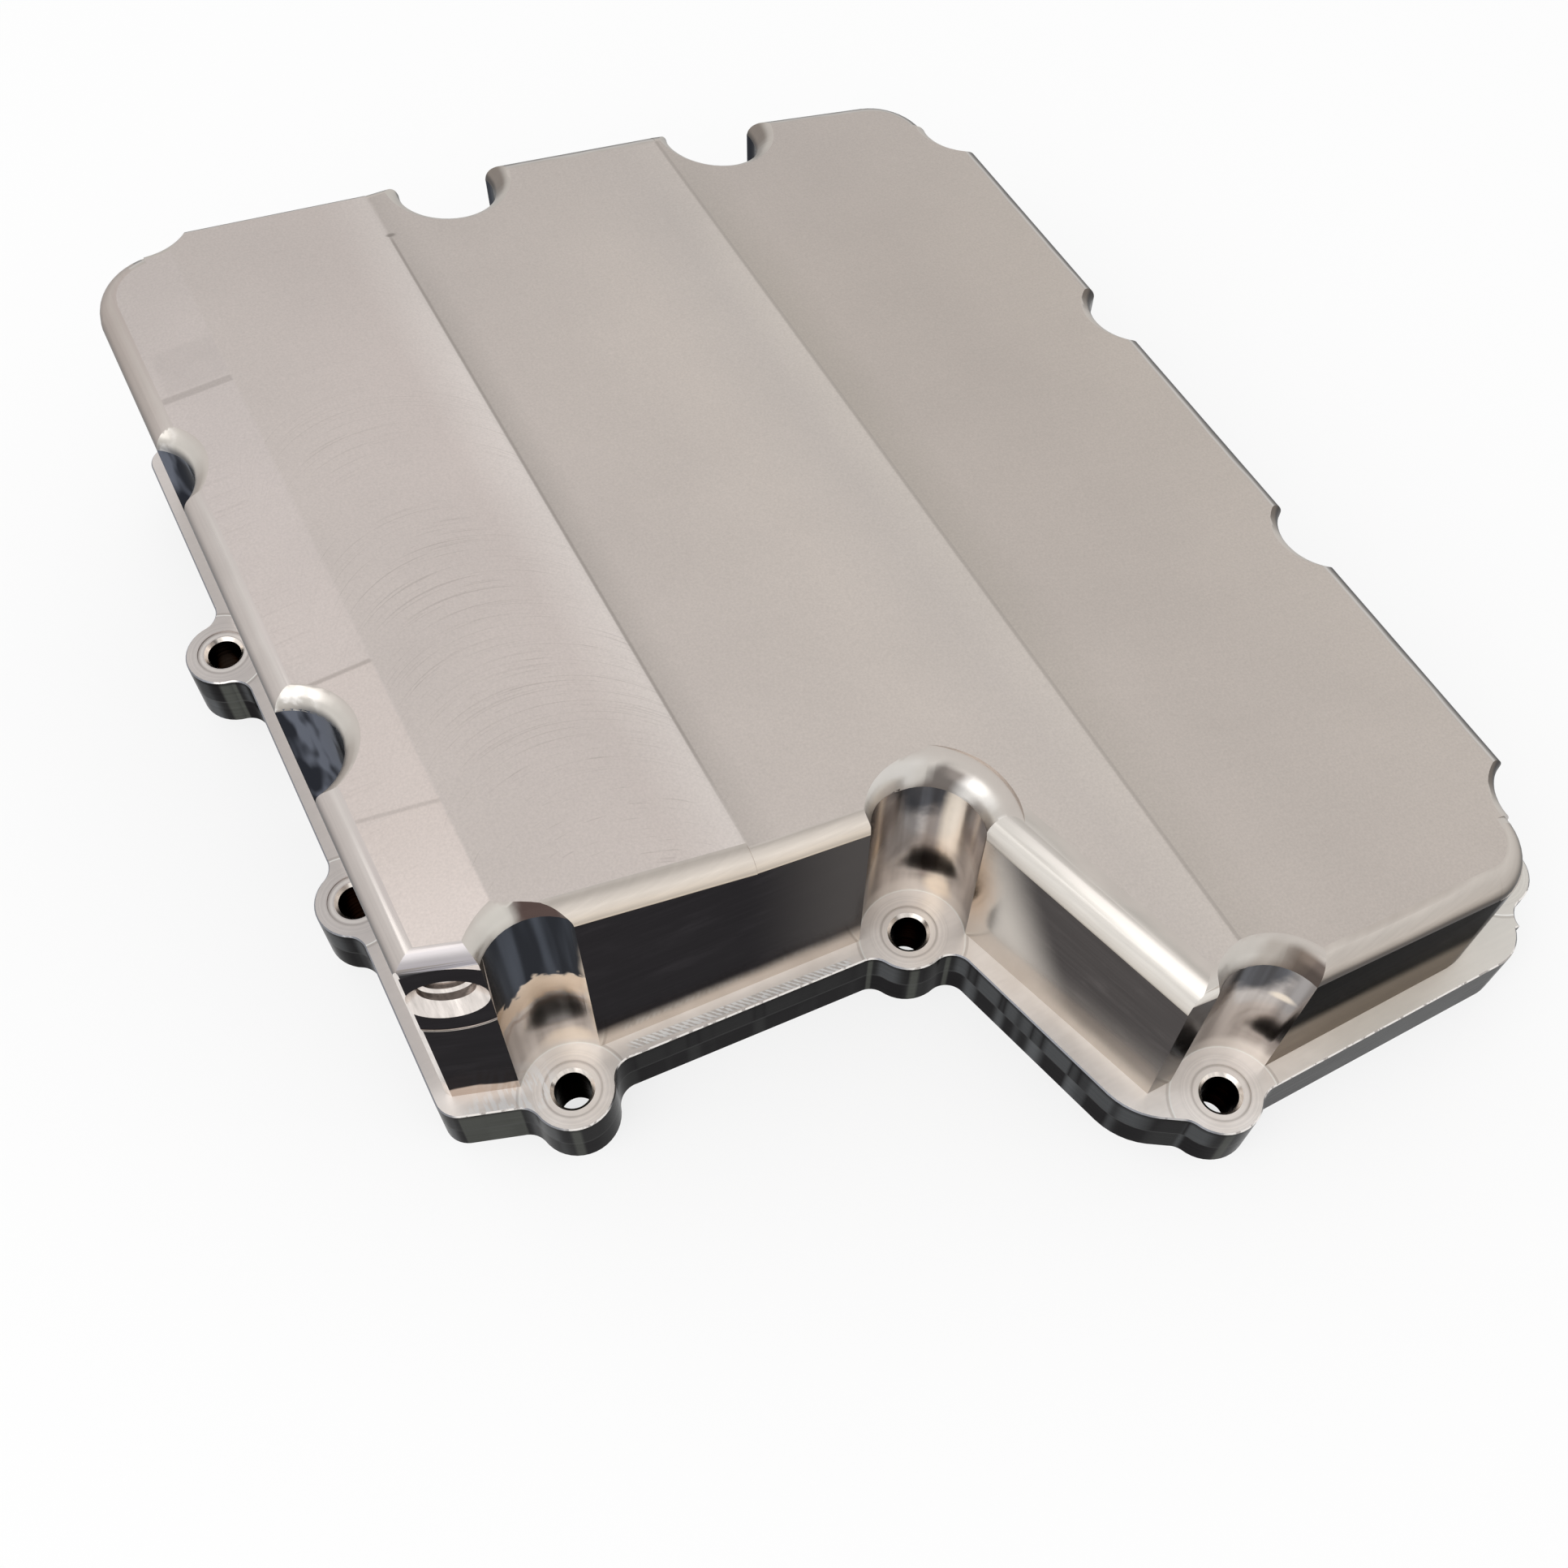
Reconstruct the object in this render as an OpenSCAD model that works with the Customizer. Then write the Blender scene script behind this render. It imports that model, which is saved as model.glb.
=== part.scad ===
// Machined aluminium engine oil pan, standing on its gasket face.
// X runs across the pan, from the deep side with the drain port to the shallow side.
// Y runs along the pan from front to rear, and Z runs up from the gasket face.
// Plan places are measured from the front deep bolt, and heights of the sump
// are measured from the top of the flange.

/* [Flange] */
// Thickness of the bolting flange
flange_t = 13; // [11:0.5:15]
// Radius of the round lobe about each bolt hole
lobe_r = 7.4; // [7:0.1:7.8]
// Radius of the hollow between a lobe and the flange edge
lobe_blend_r = 4; // [3:0.5:4.5]
// Width of the ledge in front of the side walls
side_ledge = 2.4; // [2:0.1:3]
// Width of the ledge in front of the front and rear walls
end_ledge = 3.9; // [3.5:0.1:4.3]
// Width of the ledge beside the two corners of the shallow side
corner_ledge = 6; // [5.5:0.1:6.5]
// Place across the pan where the slanted flange edge starts
slant_edge_x = 69; // [68.6:0.1:69.4]
// Direction of the slanted flange edge
slant_edge_angle = -75.7; // [-76.2:0.1:-75.2]
// Place across the pan of the flange nose beside the shallow front bolt
nose_x = 87.7; // [87.2:0.1:88.2]
// Place along the pan of that nose
nose_y = -52.2; // [-52.6:0.1:-51.8]
// Direction of the flange edge between the nose and that bolt
nose_angle = -33; // [-35:0.5:-31]
// Radius of the flange corners beside the deep side
deep_corner_r = 4.5; // [3:0.5:6]
// Radius of the flange corners beside the shallow side
shallow_corner_r = 8; // [7:0.5:9]
// Radius of the flange nose
nose_r = 14; // [10:0.5:15]

/* [Bolt pattern] */
// Place across the pan of the middle front bolt
mid_bolt_x = 65.3; // [64.8:0.1:65.8]
// Place along the pan of the middle front bolt
mid_bolt_y = -0.9; // [-1.3:0.1:-0.5]
// Place across the pan of the shallow front bolt
shallow_bolt_x = 97.2; // [96.7:0.1:97.7]
// Place along the pan of the shallow front bolt
shallow_bolt_y = -51.8; // [-52.3:0.1:-51.4]
// Place across the pan of the front one of the deep side bolts
deep_bolt_x = -19.9; // [-20.4:0.1:-19.4]
// Place along the pan of the front one of the deep side bolts
deep_bolt_y = 50.8; // [48:0.1:53]
// Place across the pan of the rear one of the deep side bolts
deep_rear_bolt_x = -23.5; // [-24:0.1:-23]
// Place along the pan of the rear one of the deep side bolts
deep_rear_bolt_y = 114; // [111:0.1:117]
// Place across the pan of the rear bolt at the deep corner
rear_deep_bolt_x = -6; // [-6.5:0.1:-5.5]
// Place along the pan of the rear bolt at the deep corner
rear_deep_bolt_y = 175; // [174.7:0.1:175.3]
// Place across the pan of the middle rear bolt
rear_mid_bolt_x = 53.2; // [52:0.1:54]
// Place along the pan of the middle rear bolt
rear_mid_bolt_y = 169.6; // [169:0.1:170.2]
// Place across the pan of the shallow rear bolt
rear_shallow_bolt_x = 110.9; // [109:0.1:113]
// Place along the pan of the shallow rear bolt
rear_shallow_bolt_y = 165.8; // [165.2:0.1:166.4]
// Place across the pan of the two middle bolts on the shallow side
side_bolt_x = 167.5; // [167:0.1:168]
// How far the two corner bolts of the shallow side stand further in
corner_bolt_inset = 2; // [1.8:0.1:2.2]
// Place along the pan of the first bolt on the shallow side
side_bolt_y = -39.6; // [-40:0.1:-39.2]
// Pitch of the four bolts on the shallow side
side_bolt_pitch = 64.2; // [64:0.1:64.4]

/* [Bolt holes and pockets] */
// Diameter of the clearance holes for the M6 bolts
bolt_hole_d = 6.5; // [6.2:0.1:7]
// Diameter of the bevelled mouth of each bolt hole
bolt_mouth_d = 7.7; // [7.5:0.1:8.4]
// Radius of the seat that the bolt head bears on
seat_r = 5.1; // [4.8:0.1:5.4]
// Depth of the seat that the bolt head bears on
seat_depth = 0.2; // [0.1:0.05:0.3]
// Radius of the tool pocket over each bolt
pocket_r = 9.5; // [9.3:0.1:9.7]
// How far each pocket stands outwards of its bolt hole
pocket_shift = 1.2; // [1:0.1:1.4]
// Round at the rim of the pockets in the deep part
deep_flare = 4; // [3.5:0.1:4.2]
// Round at the rim of the pockets along the shallow side
side_flare = 4.6; // [4:0.1:5]
// Round at the rim of the two pockets beside the slanted wall
front_flare = 5; // [4.5:0.1:5.5]
// Round at the rim of the other two pockets of the rear wall
rear_flare = 5.5; // [5:0.1:5.8]
// How much steeper than the floor the rims beside the slanted wall lie
front_lean = 3.8; // [3:0.1:4.5]
// Height of a sloping rim's round over the floor at the pocket's middle
rim_lift = 0.4; // [0.3:0.05:0.6]

/* [Sump walls] */
// Place of the deep side wall
deep_wall_x = -19.3; // [-19.6:0.1:-19]
// Place of the shallow side wall
shallow_wall_x = 163.6; // [163.2:0.1:164]
// How far the pockets of the corner bolts bite into the walls beside them
corner_bite = 0.1; // [0.1:0.05:0.5]
// Place along the pan where the port wall leaves the deep side wall
port_wall_y = 8.4; // [8:0.1:8.8]
// Direction of the port wall
port_wall_angle = -18.9; // [-20:0.1:-18]
// Place of the long front wall where it passes the front deep bolt
long_wall_y = 5.25; // [5:0.05:5.5]
// Direction of the long front wall
long_wall_angle = -3.7; // [-4:0.1:-3.4]
// Place across the pan where the slanted wall starts
slant_wall_x = 72.3; // [72:0.1:72.6]
// Direction of the slanted wall
slant_wall_angle = -73.5; // [-74:0.1:-73]
// Place of the short wall at the foot of the slanted wall
notch_wall_y = -46.1; // [-46.4:0.1:-45.8]
// Place of the shallow front wall
shallow_wall_y = -51.3; // [-51.6:0.1:-51]
// Place along the pan of the rear wall at the deep corner
rear_deep_wall_y = 167; // [166.8:0.1:167.2]
// Place of the rear wall where its two halves would meet
rear_wall_y = 174; // [173.8:0.1:174.2]
// Slope in plan of each half of the rear wall
rear_wall_angle = 4.6; // [4.3:0.1:4.9]
// Radius of the vertical corner between the deep side and the rear
deep_wall_corner_r = 12; // [10:0.5:13]
// Radius of the vertical corners at the ends of the shallow side
shallow_wall_corner_r = 11.5; // [10:0.5:11.5]
// Width of the flat bevel on the vertical corner beside the drain port
port_corner_bevel = 1.2; // [0.8:0.1:1.6]
// Thickness of the walls
wall_t = 5; // [4:0.5:5.5]
// Radius of the inside corners
inside_corner_r = 8; // [6:0.5:10]

/* [Sump floor] */
// Height of the floor at the deep side wall
deep_side_h = 52.1; // [51:0.1:52.4]
// Height of the floor at the crest
crest_h = 52.6; // [52.5:0.1:53.5]
// Height of the floor at the front crease
mid_crease_h = 44.4; // [43.8:0.1:45]
// Height of the floor at the far crease
far_crease_h = 38.3; // [37.8:0.1:38.8]
// Height of the floor at the shallow side wall
shallow_side_h = 28.5; // [28:0.1:29.5]
// Place across the pan of the crest
crest_x = -2.5; // [-3:0.1:-2]
// Place across the pan of the front crease
mid_crease_x = 37; // [36:0.1:38]
// Place across the pan of the far crease
far_crease_x = 98; // [97:0.1:99]
// Thickness of the sump floor
floor_t = 6; // [5:0.5:7]

/* [Edge rounds] */
// Round along the top of the deep side wall
deep_side_round = 4.5; // [4:0.1:5]
// Round along the top of the port wall
port_round = 3.5; // [3:0.1:4]
// Round along the top of the long front and shallow side walls
long_round = 4; // [3.5:0.1:4.5]
// Round along the top of the rear wall in the deep part
rear_round = 2.5; // [2:0.1:3]
// Round along the top of the slanted wall
slant_round = 6; // [5:0.1:6.2]
// Round along the top of the shallow front wall
shallow_round = 4.5; // [4:0.1:5]

/* [Drain port] */
// Height of the port axis
port_h = 38.2; // [37:0.1:38.5]
// Distance of the port axis from the deep side wall, along the port wall
port_along = 6; // [5.8:0.1:6.2]
// Diameter of the core bore for the drain plug's thread
port_bore_d = 9; // [8.5:0.1:9.4]
// Diameter of the bevelled mouth of the port
port_mouth_d = 13; // [12.4:0.1:13.2]
// Radius of the seal face round the port
port_face_r = 11; // [10.5:0.1:11.5]
// Depth of the seal face
port_face_depth = 0.2; // [0.1:0.05:0.3]
// Length of the bore
port_length = 13; // [12:0.5:14]
// Thickness of the metal round the bore inside the sump
port_boss_t = 2; // [1.5:0.5:3]

/* [Hidden] */
$fn = 48;
round_fn = 24;
bolt_fn = 32;

// Small overlaps of the cutters, how far inside a pocket a round starts,
// and the space that holds the whole pan.
eps = 0.02;
past = 0.08;
over = 1;
margin = 3;
inset = 4;
tall = 80;
front_limit = -80;
rear_limit = 240;

// The bolts, with the direction in which each pocket stands outwards, the
// round at the pocket's rim and, where that rim slopes with the floor, how
// much steeper than the floor it lies. The other rims are level.
corner_bolt_x = side_bolt_x - corner_bolt_inset;
BOLTS = [
    [[0, 0], -90, deep_flare],
    [[mid_bolt_x, mid_bolt_y], -90, front_flare, front_lean],
    [[shallow_bolt_x, shallow_bolt_y], -90, front_flare, front_lean],
    [[corner_bolt_x, side_bolt_y], 0, side_flare],
    [[side_bolt_x, side_bolt_y + side_bolt_pitch], 0, side_flare],
    [[side_bolt_x, side_bolt_y + 2 * side_bolt_pitch], 0, side_flare],
    [[corner_bolt_x, side_bolt_y + 3 * side_bolt_pitch], 0, side_flare],
    [[rear_shallow_bolt_x, rear_shallow_bolt_y], 90, rear_flare, 0],
    [[rear_mid_bolt_x, rear_mid_bolt_y], 90, rear_flare, 0],
    [[rear_deep_bolt_x, rear_deep_bolt_y], 90, deep_flare],
    [[deep_rear_bolt_x, deep_rear_bolt_y], 180, deep_flare],
    [[deep_bolt_x, deep_bolt_y], 180, deep_flare]
];
function bolt_at(i) = BOLTS[i][0];
function pocket_at(i) = BOLTS[i][0] + pocket_shift * unit(BOLTS[i][1]);

// Plan geometry. A line is a point, a direction and a shift to its left,
// and the outlines run anticlockwise, so the left side is the inner one.
function unit(a) = [cos(a), sin(a)];
function left_of(a) = [-sin(a), cos(a)];
function line_point(l) = l[0] + l[2] * left_of(l[1]);
function cross2(u, v) = u[0] * v[1] - u[1] * v[0];
function meet(l, m) =
    let (p = line_point(l), q = line_point(m), u = unit(l[1]), v = unit(m[1]))
    p + u * cross2(q - p, v) / cross2(u, v);
function vertices(lines) =
    [for (i = [0 : len(lines) - 1]) meet(lines[(i + len(lines) - 1) % len(lines)], lines[i])];

// The sump's wall lines, shifted in by s. Lines that only join two walls
// inside a pocket pass through its bolt and aren't shifted.
REAR_APEX = [rear_mid_bolt_x, rear_wall_y];
corner_wall_x = corner_bolt_x + pocket_shift - pocket_r + corner_bite;
function wall_lines(s) = [
    [[deep_wall_x, 0], -90, s],
    [[deep_wall_x, port_wall_y], port_wall_angle, s],
    [bolt_at(0), 90, 0],
    [[0, long_wall_y], long_wall_angle, s],
    [[slant_wall_x, 0], slant_wall_angle, s],
    [[0, notch_wall_y], 0, s],
    [bolt_at(2), -90, 0],
    [[0, shallow_wall_y], 0, s],
    [[corner_wall_x, 0], 90, s],
    [bolt_at(3), 0, 0],
    [[shallow_wall_x, 0], 90, s],
    [bolt_at(6), 180, 0],
    [[corner_wall_x, 0], 90, s],
    [REAR_APEX, 180 - rear_wall_angle, s],
    [bolt_at(8), 90, 0],
    [REAR_APEX, 180 + rear_wall_angle, s],
    [bolt_at(9), -90, 0],
    [[0, rear_deep_wall_y], 180, s]
];

// The flange's edge lines, each a ledge's width outside its wall.
function edge_lines() = [
    [[deep_wall_x - side_ledge, 0], -90, 0],
    [[deep_wall_x, port_wall_y], port_wall_angle, -end_ledge],
    [bolt_at(0), 90, 0],
    [[0, long_wall_y], long_wall_angle, -end_ledge],
    [[slant_edge_x, 0], slant_edge_angle, 0],
    [[nose_x, nose_y], nose_angle, 0],
    [[0, shallow_wall_y], 0, -end_ledge],
    [[corner_wall_x, 0], 90, -corner_ledge],
    [bolt_at(3), 0, 0],
    [[shallow_wall_x + side_ledge, 0], 90, 0],
    [bolt_at(6), 180, 0],
    [[corner_wall_x, 0], 90, -corner_ledge],
    [REAR_APEX, 180 - rear_wall_angle, -end_ledge],
    [bolt_at(8), 90, 0],
    [REAR_APEX, 180 + rear_wall_angle, -end_ledge],
    [bolt_at(9), -90, 0],
    [[0, rear_deep_wall_y], 180, -end_ledge]
];

// The floor's height at any place across the pan, and its slope there.
FLOOR = [
    [deep_wall_x, deep_side_h],
    [crest_x, crest_h],
    [mid_crease_x, mid_crease_h],
    [far_crease_x, far_crease_h],
    [shallow_wall_x, shallow_side_h]
];
function floor_h(x) = lookup(x, FLOOR);
function floor_slope(x) =
    x < crest_x ? facet_slope(0)
    : x < mid_crease_x ? facet_slope(1)
    : x < far_crease_x ? facet_slope(2)
    : facet_slope(3);
function facet_slope(i) = (FLOOR[i + 1][1] - FLOOR[i][1]) / (FLOOR[i + 1][0] - FLOOR[i][0]);
function highest_floor(x0, x1) =
    max(floor_h(x0), floor_h(x1), x0 < crest_x && crest_x < x1 ? crest_h : 0);

// What a round of radius r takes off the corner at p, whose two edges
// leave it in the directions a and b.
module corner_waste(p, a, b, r) {
    half = abs(((b - a) % 360 + 540) % 360 - 180) / 2;
    side = unit(a) + unit(b);
    centre = p + side / norm(side) * r / sin(half);
    touch_a = p + unit(a) * r / tan(half);
    touch_b = p + unit(b) * r / tan(half);
    difference() {
        polygon([
            p + (p - centre) / norm(p - centre) * margin,
            touch_a + (touch_a - centre) / r,
            centre,
            touch_b + (touch_b - centre) / r
        ]);
        translate(centre) circle(r + eps / 4, $fn = r < inside_corner_r ? round_fn : $fn);
    }
}

// Where the corner of radius r between line i and the one before it starts
// and ends, and what it takes off there.
function before(lines, i) = lines[(i + len(lines) - 1) % len(lines)];
function turn_at(lines, i) = ((lines[i][1] - before(lines, i)[1]) % 360 + 360) % 360;
function corner_start(lines, i, r) =
    meet(before(lines, i), lines[i]) - r * tan(turn_at(lines, i) / 2) * unit(before(lines, i)[1]);
function corner_end(lines, i, r) =
    meet(before(lines, i), lines[i]) + r * tan(turn_at(lines, i) / 2) * unit(lines[i][1]);
module line_corner_waste(lines, i, r) {
    corner_waste(meet(before(lines, i), lines[i]), before(lines, i)[1] + 180, lines[i][1], r);
}

// A lobe about p blends into the edge line l through a hollow, which lies
// ahead of the lobe along the line when way is 1 and behind it when way is -1.
function outward(l) = -left_of(l[1]);
function standing(p, l) = (p - line_point(l)) * outward(l);
function hollow_at(p, l, way) =
    let (across = lobe_blend_r - standing(p, l))
    p + across * outward(l)
      + way * sqrt(max(0, pow(lobe_r + lobe_blend_r, 2) - across * across)) * unit(l[1]);

module lobe_web(p, l, way) {
    hollow = hollow_at(p, l, way);
    polygon([
        hollow,
        hollow - (lobe_blend_r + margin) * outward(l),
        p - (standing(p, l) + margin) * outward(l),
        p
    ]);
}

// For each bolt, the flange edge that leads to its lobe and the one that
// follows. A lobe that stands wholly inside an edge needs no web there.
BESIDE = [
    [1, 3], [3, 4], [5, 6], [7, 9], [9, 9], [9, 9],
    [9, 11], [12, 12], [12, 14], [14, 16], [0, 0], [0, 0]
];
function webs(lines) = [
    for (i = [0 : len(BOLTS) - 1], way = [-1, 1])
        let (p = bolt_at(i), l = lines[BESIDE[i][(way + 1) / 2]])
        if (standing(p, l) > eps - lobe_r) [p, l, way]
];

module flange() {
    lines = edge_lines();
    linear_extrude(flange_t) difference() {
        union() {
            difference() {
                polygon(vertices(lines));
                line_corner_waste(lines, 0, deep_corner_r);
                line_corner_waste(lines, 1, deep_corner_r);
                line_corner_waste(lines, 5, nose_r);
                line_corner_waste(lines, 7, shallow_corner_r);
                line_corner_waste(lines, 12, shallow_corner_r);
            }
            for (w = webs(lines))
                lobe_web(w[0], w[1], w[2]);
        }
        for (w = webs(lines))
            translate(hollow_at(w[0], w[1], w[2])) circle(lobe_blend_r + eps);
    }
    for (i = [0 : len(BOLTS) - 1])
        translate([bolt_at(i)[0], bolt_at(i)[1], 0]) cylinder(h = flange_t, r = lobe_r);
}

module sump_outline() {
    lines = wall_lines(0);
    difference() {
        polygon(vertices(lines));
        line_corner_waste(lines, 0, deep_wall_corner_r);
        line_corner_waste(lines, 8, shallow_wall_corner_r);
        line_corner_waste(lines, 13, shallow_wall_corner_r);
    }
}

module inside_outline() {
    lines = wall_lines(wall_t);
    difference() {
        polygon(vertices(lines));
        line_corner_waste(lines, 0, inside_corner_r);
        line_corner_waste(lines, 8, inside_corner_r);
        line_corner_waste(lines, 13, inside_corner_r);
        for (i = [0 : len(BOLTS) - 1])
            translate(pocket_at(i)) circle(pocket_r + wall_t);
    }
}

// The sump's cross-section from side to side, up to the floor lowered by drop.
module cross_section(drop) {
    last = FLOOR[len(FLOOR) - 1];
    polygon(concat(
        [[deep_wall_x - margin, -margin], [deep_wall_x - margin, flange_t + deep_side_h - drop]],
        [for (p = FLOOR) [p[0], flange_t + p[1] - drop]],
        [[shallow_wall_x + margin, flange_t + shallow_side_h - drop],
         [shallow_wall_x + margin, -margin]]
    ));
}
module along_pan() {
    translate([0, rear_limit, 0]) rotate([90, 0, 0])
        linear_extrude(rear_limit - front_limit) children();
}

// What the round of radius r takes off the top of a straight wall, from
// the place a to the place b across the pan, or along it for a wall that
// runs more along the pan. The floor may slope along the wall.
module wall_round(l, a, b, r) {
    u = unit(l[1]);
    k = abs(u[0]) > abs(u[1]) ? 0 : 1;
    start = line_point(l) + u * (a - line_point(l)[k]) / u[k];
    end = line_point(l) + u * (b - line_point(l)[k]) / u[k];
    slope = floor_slope((start[0] + end[0]) / 2);
    climb = atan(slope * u[0]);
    tilt = asin(slope * left_of(l[1])[0] / sqrt(1 + slope * slope));
    translate([start[0], start[1], flange_t + floor_h(start[0])])
        rotate([0, 0, l[1]])
            rotate([0, -climb, 0])
                rotate([90, 0, 90])
                    linear_extrude(norm(end - start) / cos(climb))
                        corner_waste([0, 0], -90, tilt, r);
}

// The part of a round between two places across the pan, such as creases.
module between(x0, x1) {
    intersection() {
        children();
        translate([x0, front_limit, 0]) cube([x1 - x0, rear_limit - front_limit, tall]);
    }
}

// What the same round takes off where it turns round a vertical corner of
// radius corner_r, between lines i - 1 and i.
module corner_round(lines, i, corner_r, r) {
    from = before(lines, i)[1];
    turn = turn_at(lines, i);
    p = meet(before(lines, i), lines[i]);
    inner = left_of(from) + left_of(lines[i][1]);
    centre = p + inner / norm(inner) * corner_r / cos(turn / 2);
    slope = floor_slope(centre[0]);
    translate([centre[0], centre[1], flange_t + floor_h(centre[0])])
        rotate([0, -atan(slope), 0])
            rotate([0, 0, from - 90])
                rotate_extrude(angle = turn)
                    translate([corner_r + eps / 2, 0]) mirror([1, 0]) corner_waste([0, 0], -90, 0, r);
}

// The tool pocket over a bolt, with its flared rim.
module pocket(i) {
    c = pocket_at(i);
    r = BOLTS[i][2];
    lean = BOLTS[i][3];
    sloping = is_num(lean);
    tilt = sloping ? lean - atan(floor_slope(c[0])) : 0;
    rim_top = sloping
        ? floor_h(c[0]) + rim_lift
        : highest_floor(c[0] - pocket_r - r, c[0] + pocket_r + r) + past / 2;
    translate([c[0], c[1], flange_t]) {
        cylinder(h = tall, r = pocket_r);
        translate([0, 0, rim_top - r]) rotate([0, tilt, 0]) rotate_extrude() difference() {
            translate([pocket_r - over, 0]) square([r + over, r + margin]);
            translate([pocket_r + r, 0]) circle(r, $fn = round_fn);
        }
    }
}

module pocketed_sump() {
    difference() {
        intersection() {
            translate([0, 0, flange_t / 2]) linear_extrude(tall) sump_outline();
            along_pan() cross_section(0);
        }
        for (i = [0 : len(BOLTS) - 1])
            pocket(i);
        translate([deep_wall_x, port_wall_y, 0])
            rotate([0, 0, (port_wall_angle - 90) / 2])
                translate([-margin, -margin, 0])
                    cube([2 * margin, margin + port_corner_bevel / 2 / tan(45 - port_wall_angle / 2), tall]);
    }
}

// The rounds along the tops of the walls, worked in three passes. Each one
// starts and ends in a pocket, at a crease of the floor or at a corner.
module sump() {
    lines = wall_lines(0);
    deep_rear_y = rear_deep_wall_y - deep_wall_corner_r;
    front_corner = corner_start(lines, 8, shallow_wall_corner_r)[0] + past;
    rear_corner = corner_end(lines, 13, shallow_wall_corner_r)[0] + past;
    difference() {
        difference() {
            difference() {
                pocketed_sump();
                wall_round(lines[0], deep_rear_y, port_wall_y - margin, deep_side_round);
                between(crest_x, mid_crease_x)
                    wall_round(lines[3], inset, mid_crease_x + over, long_round);
                wall_round(lines[4], 0, notch_wall_y, slant_round);
                wall_round(lines[7], shallow_bolt_x + inset, front_corner, shallow_round);
                wall_round(lines[10], bolt_at(3)[1], bolt_at(6)[1], long_round);
                between(far_crease_x, shallow_wall_x)
                    wall_round(lines[13], rear_corner, far_crease_x - over, long_round);
                between(mid_crease_x, rear_mid_bolt_x)
                    wall_round(lines[15], rear_mid_bolt_x, mid_crease_x - over, rear_round);
                wall_round(lines[17], rear_deep_bolt_x, deep_wall_x + deep_wall_corner_r - past, rear_round);
            }
            wall_round(lines[1], deep_wall_x - margin, crest_x - over, port_round);
            between(mid_crease_x, mid_bolt_x)
                wall_round(lines[3], mid_crease_x - over, mid_bolt_x, long_round);
            wall_round(lines[5], meet(lines[4], lines[5])[0] - inset, shallow_bolt_x - inset, long_round);
            between(rear_mid_bolt_x, far_crease_x)
                wall_round(lines[13], far_crease_x + over, rear_mid_bolt_x, long_round);
            between(rear_deep_bolt_x, mid_crease_x)
                wall_round(lines[15], mid_crease_x + over, rear_deep_bolt_x, rear_round);
        }
        corner_round(lines, 8, shallow_wall_corner_r, shallow_round);
        corner_round(lines, 13, shallow_wall_corner_r, long_round);
        corner_round(lines, 0, deep_wall_corner_r, deep_side_round);
    }
}

// The drain port's own frame: its axis along Z, out through the port wall.
port_at = [deep_wall_x, port_wall_y] + port_along * unit(port_wall_angle);
module at_port() {
    translate([port_at[0], port_at[1], flange_t + port_h])
        rotate([0, 0, port_wall_angle]) rotate([90, 0, 0]) children();
}

module oil_pan() color("silver") translate([-mid_x, -mid_y, 0]) {
    difference() {
        difference() {
            union() {
                flange();
                sump();
            }
            difference() {
                intersection() {
                    translate([0, 0, -eps]) linear_extrude(tall) inside_outline();
                    along_pan() cross_section(floor_t);
                }
                at_port() translate([0, 0, -port_length])
                    cylinder(h = port_length, r = port_mouth_d / 2 + port_boss_t);
            }
        }
        for (bolt = BOLTS) translate([bolt[0][0], bolt[0][1], 0]) {
            $fn = bolt_fn;
            bevel = (bolt_mouth_d - bolt_hole_d) / 2;
            translate([0, 0, -over]) cylinder(h = flange_t + 2 * over, d = bolt_hole_d);
            translate([0, 0, flange_t - seat_depth]) cylinder(h = over, r = seat_r);
            translate([0, 0, flange_t - seat_depth - bevel])
                cylinder(h = bevel + eps, d1 = bolt_hole_d, d2 = bolt_mouth_d + 2 * eps);
        }
        at_port() {
            bevel = (port_mouth_d - port_bore_d) / 2;
            translate([0, 0, -port_length - over])
                cylinder(h = port_length + over + margin, d = port_bore_d);
            translate([0, 0, -port_face_depth]) cylinder(h = margin, r = port_face_r);
            translate([0, 0, -port_face_depth - bevel])
                cylinder(h = bevel + eps, d1 = port_bore_d, d2 = port_mouth_d + 2 * eps);
        }
    }
}

// The origin is the middle of the pan's outer box, on the gasket face.
mid_x = (deep_rear_bolt_x + side_bolt_x) / 2;
mid_y = (shallow_bolt_y + rear_deep_bolt_y) / 2;

oil_pan();
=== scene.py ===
# %% [markdown]
# # A machined oil pan, dressed in Blender
# The pan is one piece of aluminium, milled from a block and photographed
# upside down: it stands on its gasket face, and the floor of the sump is on top.
# The solid comes ready made. This lesson gives it the crisp edges and the
# different finishes that the cutters left on it.

# %% Load the solid
import math
import bmesh
import bpy
from mathutils import Matrix, Vector
from mathutils.bvhtree import BVHTree


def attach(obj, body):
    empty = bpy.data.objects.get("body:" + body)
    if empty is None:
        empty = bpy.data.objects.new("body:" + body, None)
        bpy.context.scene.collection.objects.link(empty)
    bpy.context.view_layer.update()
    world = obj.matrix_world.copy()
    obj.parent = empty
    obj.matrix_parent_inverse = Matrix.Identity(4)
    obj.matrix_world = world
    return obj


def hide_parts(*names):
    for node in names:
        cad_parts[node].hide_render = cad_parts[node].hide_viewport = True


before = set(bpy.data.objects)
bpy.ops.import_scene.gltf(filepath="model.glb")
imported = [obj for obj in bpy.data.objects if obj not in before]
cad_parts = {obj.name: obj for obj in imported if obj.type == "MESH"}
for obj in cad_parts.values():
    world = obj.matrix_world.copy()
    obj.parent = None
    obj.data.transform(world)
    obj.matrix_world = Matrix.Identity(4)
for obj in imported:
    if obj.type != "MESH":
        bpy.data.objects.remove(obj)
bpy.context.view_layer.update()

MM = 0.001

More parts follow.
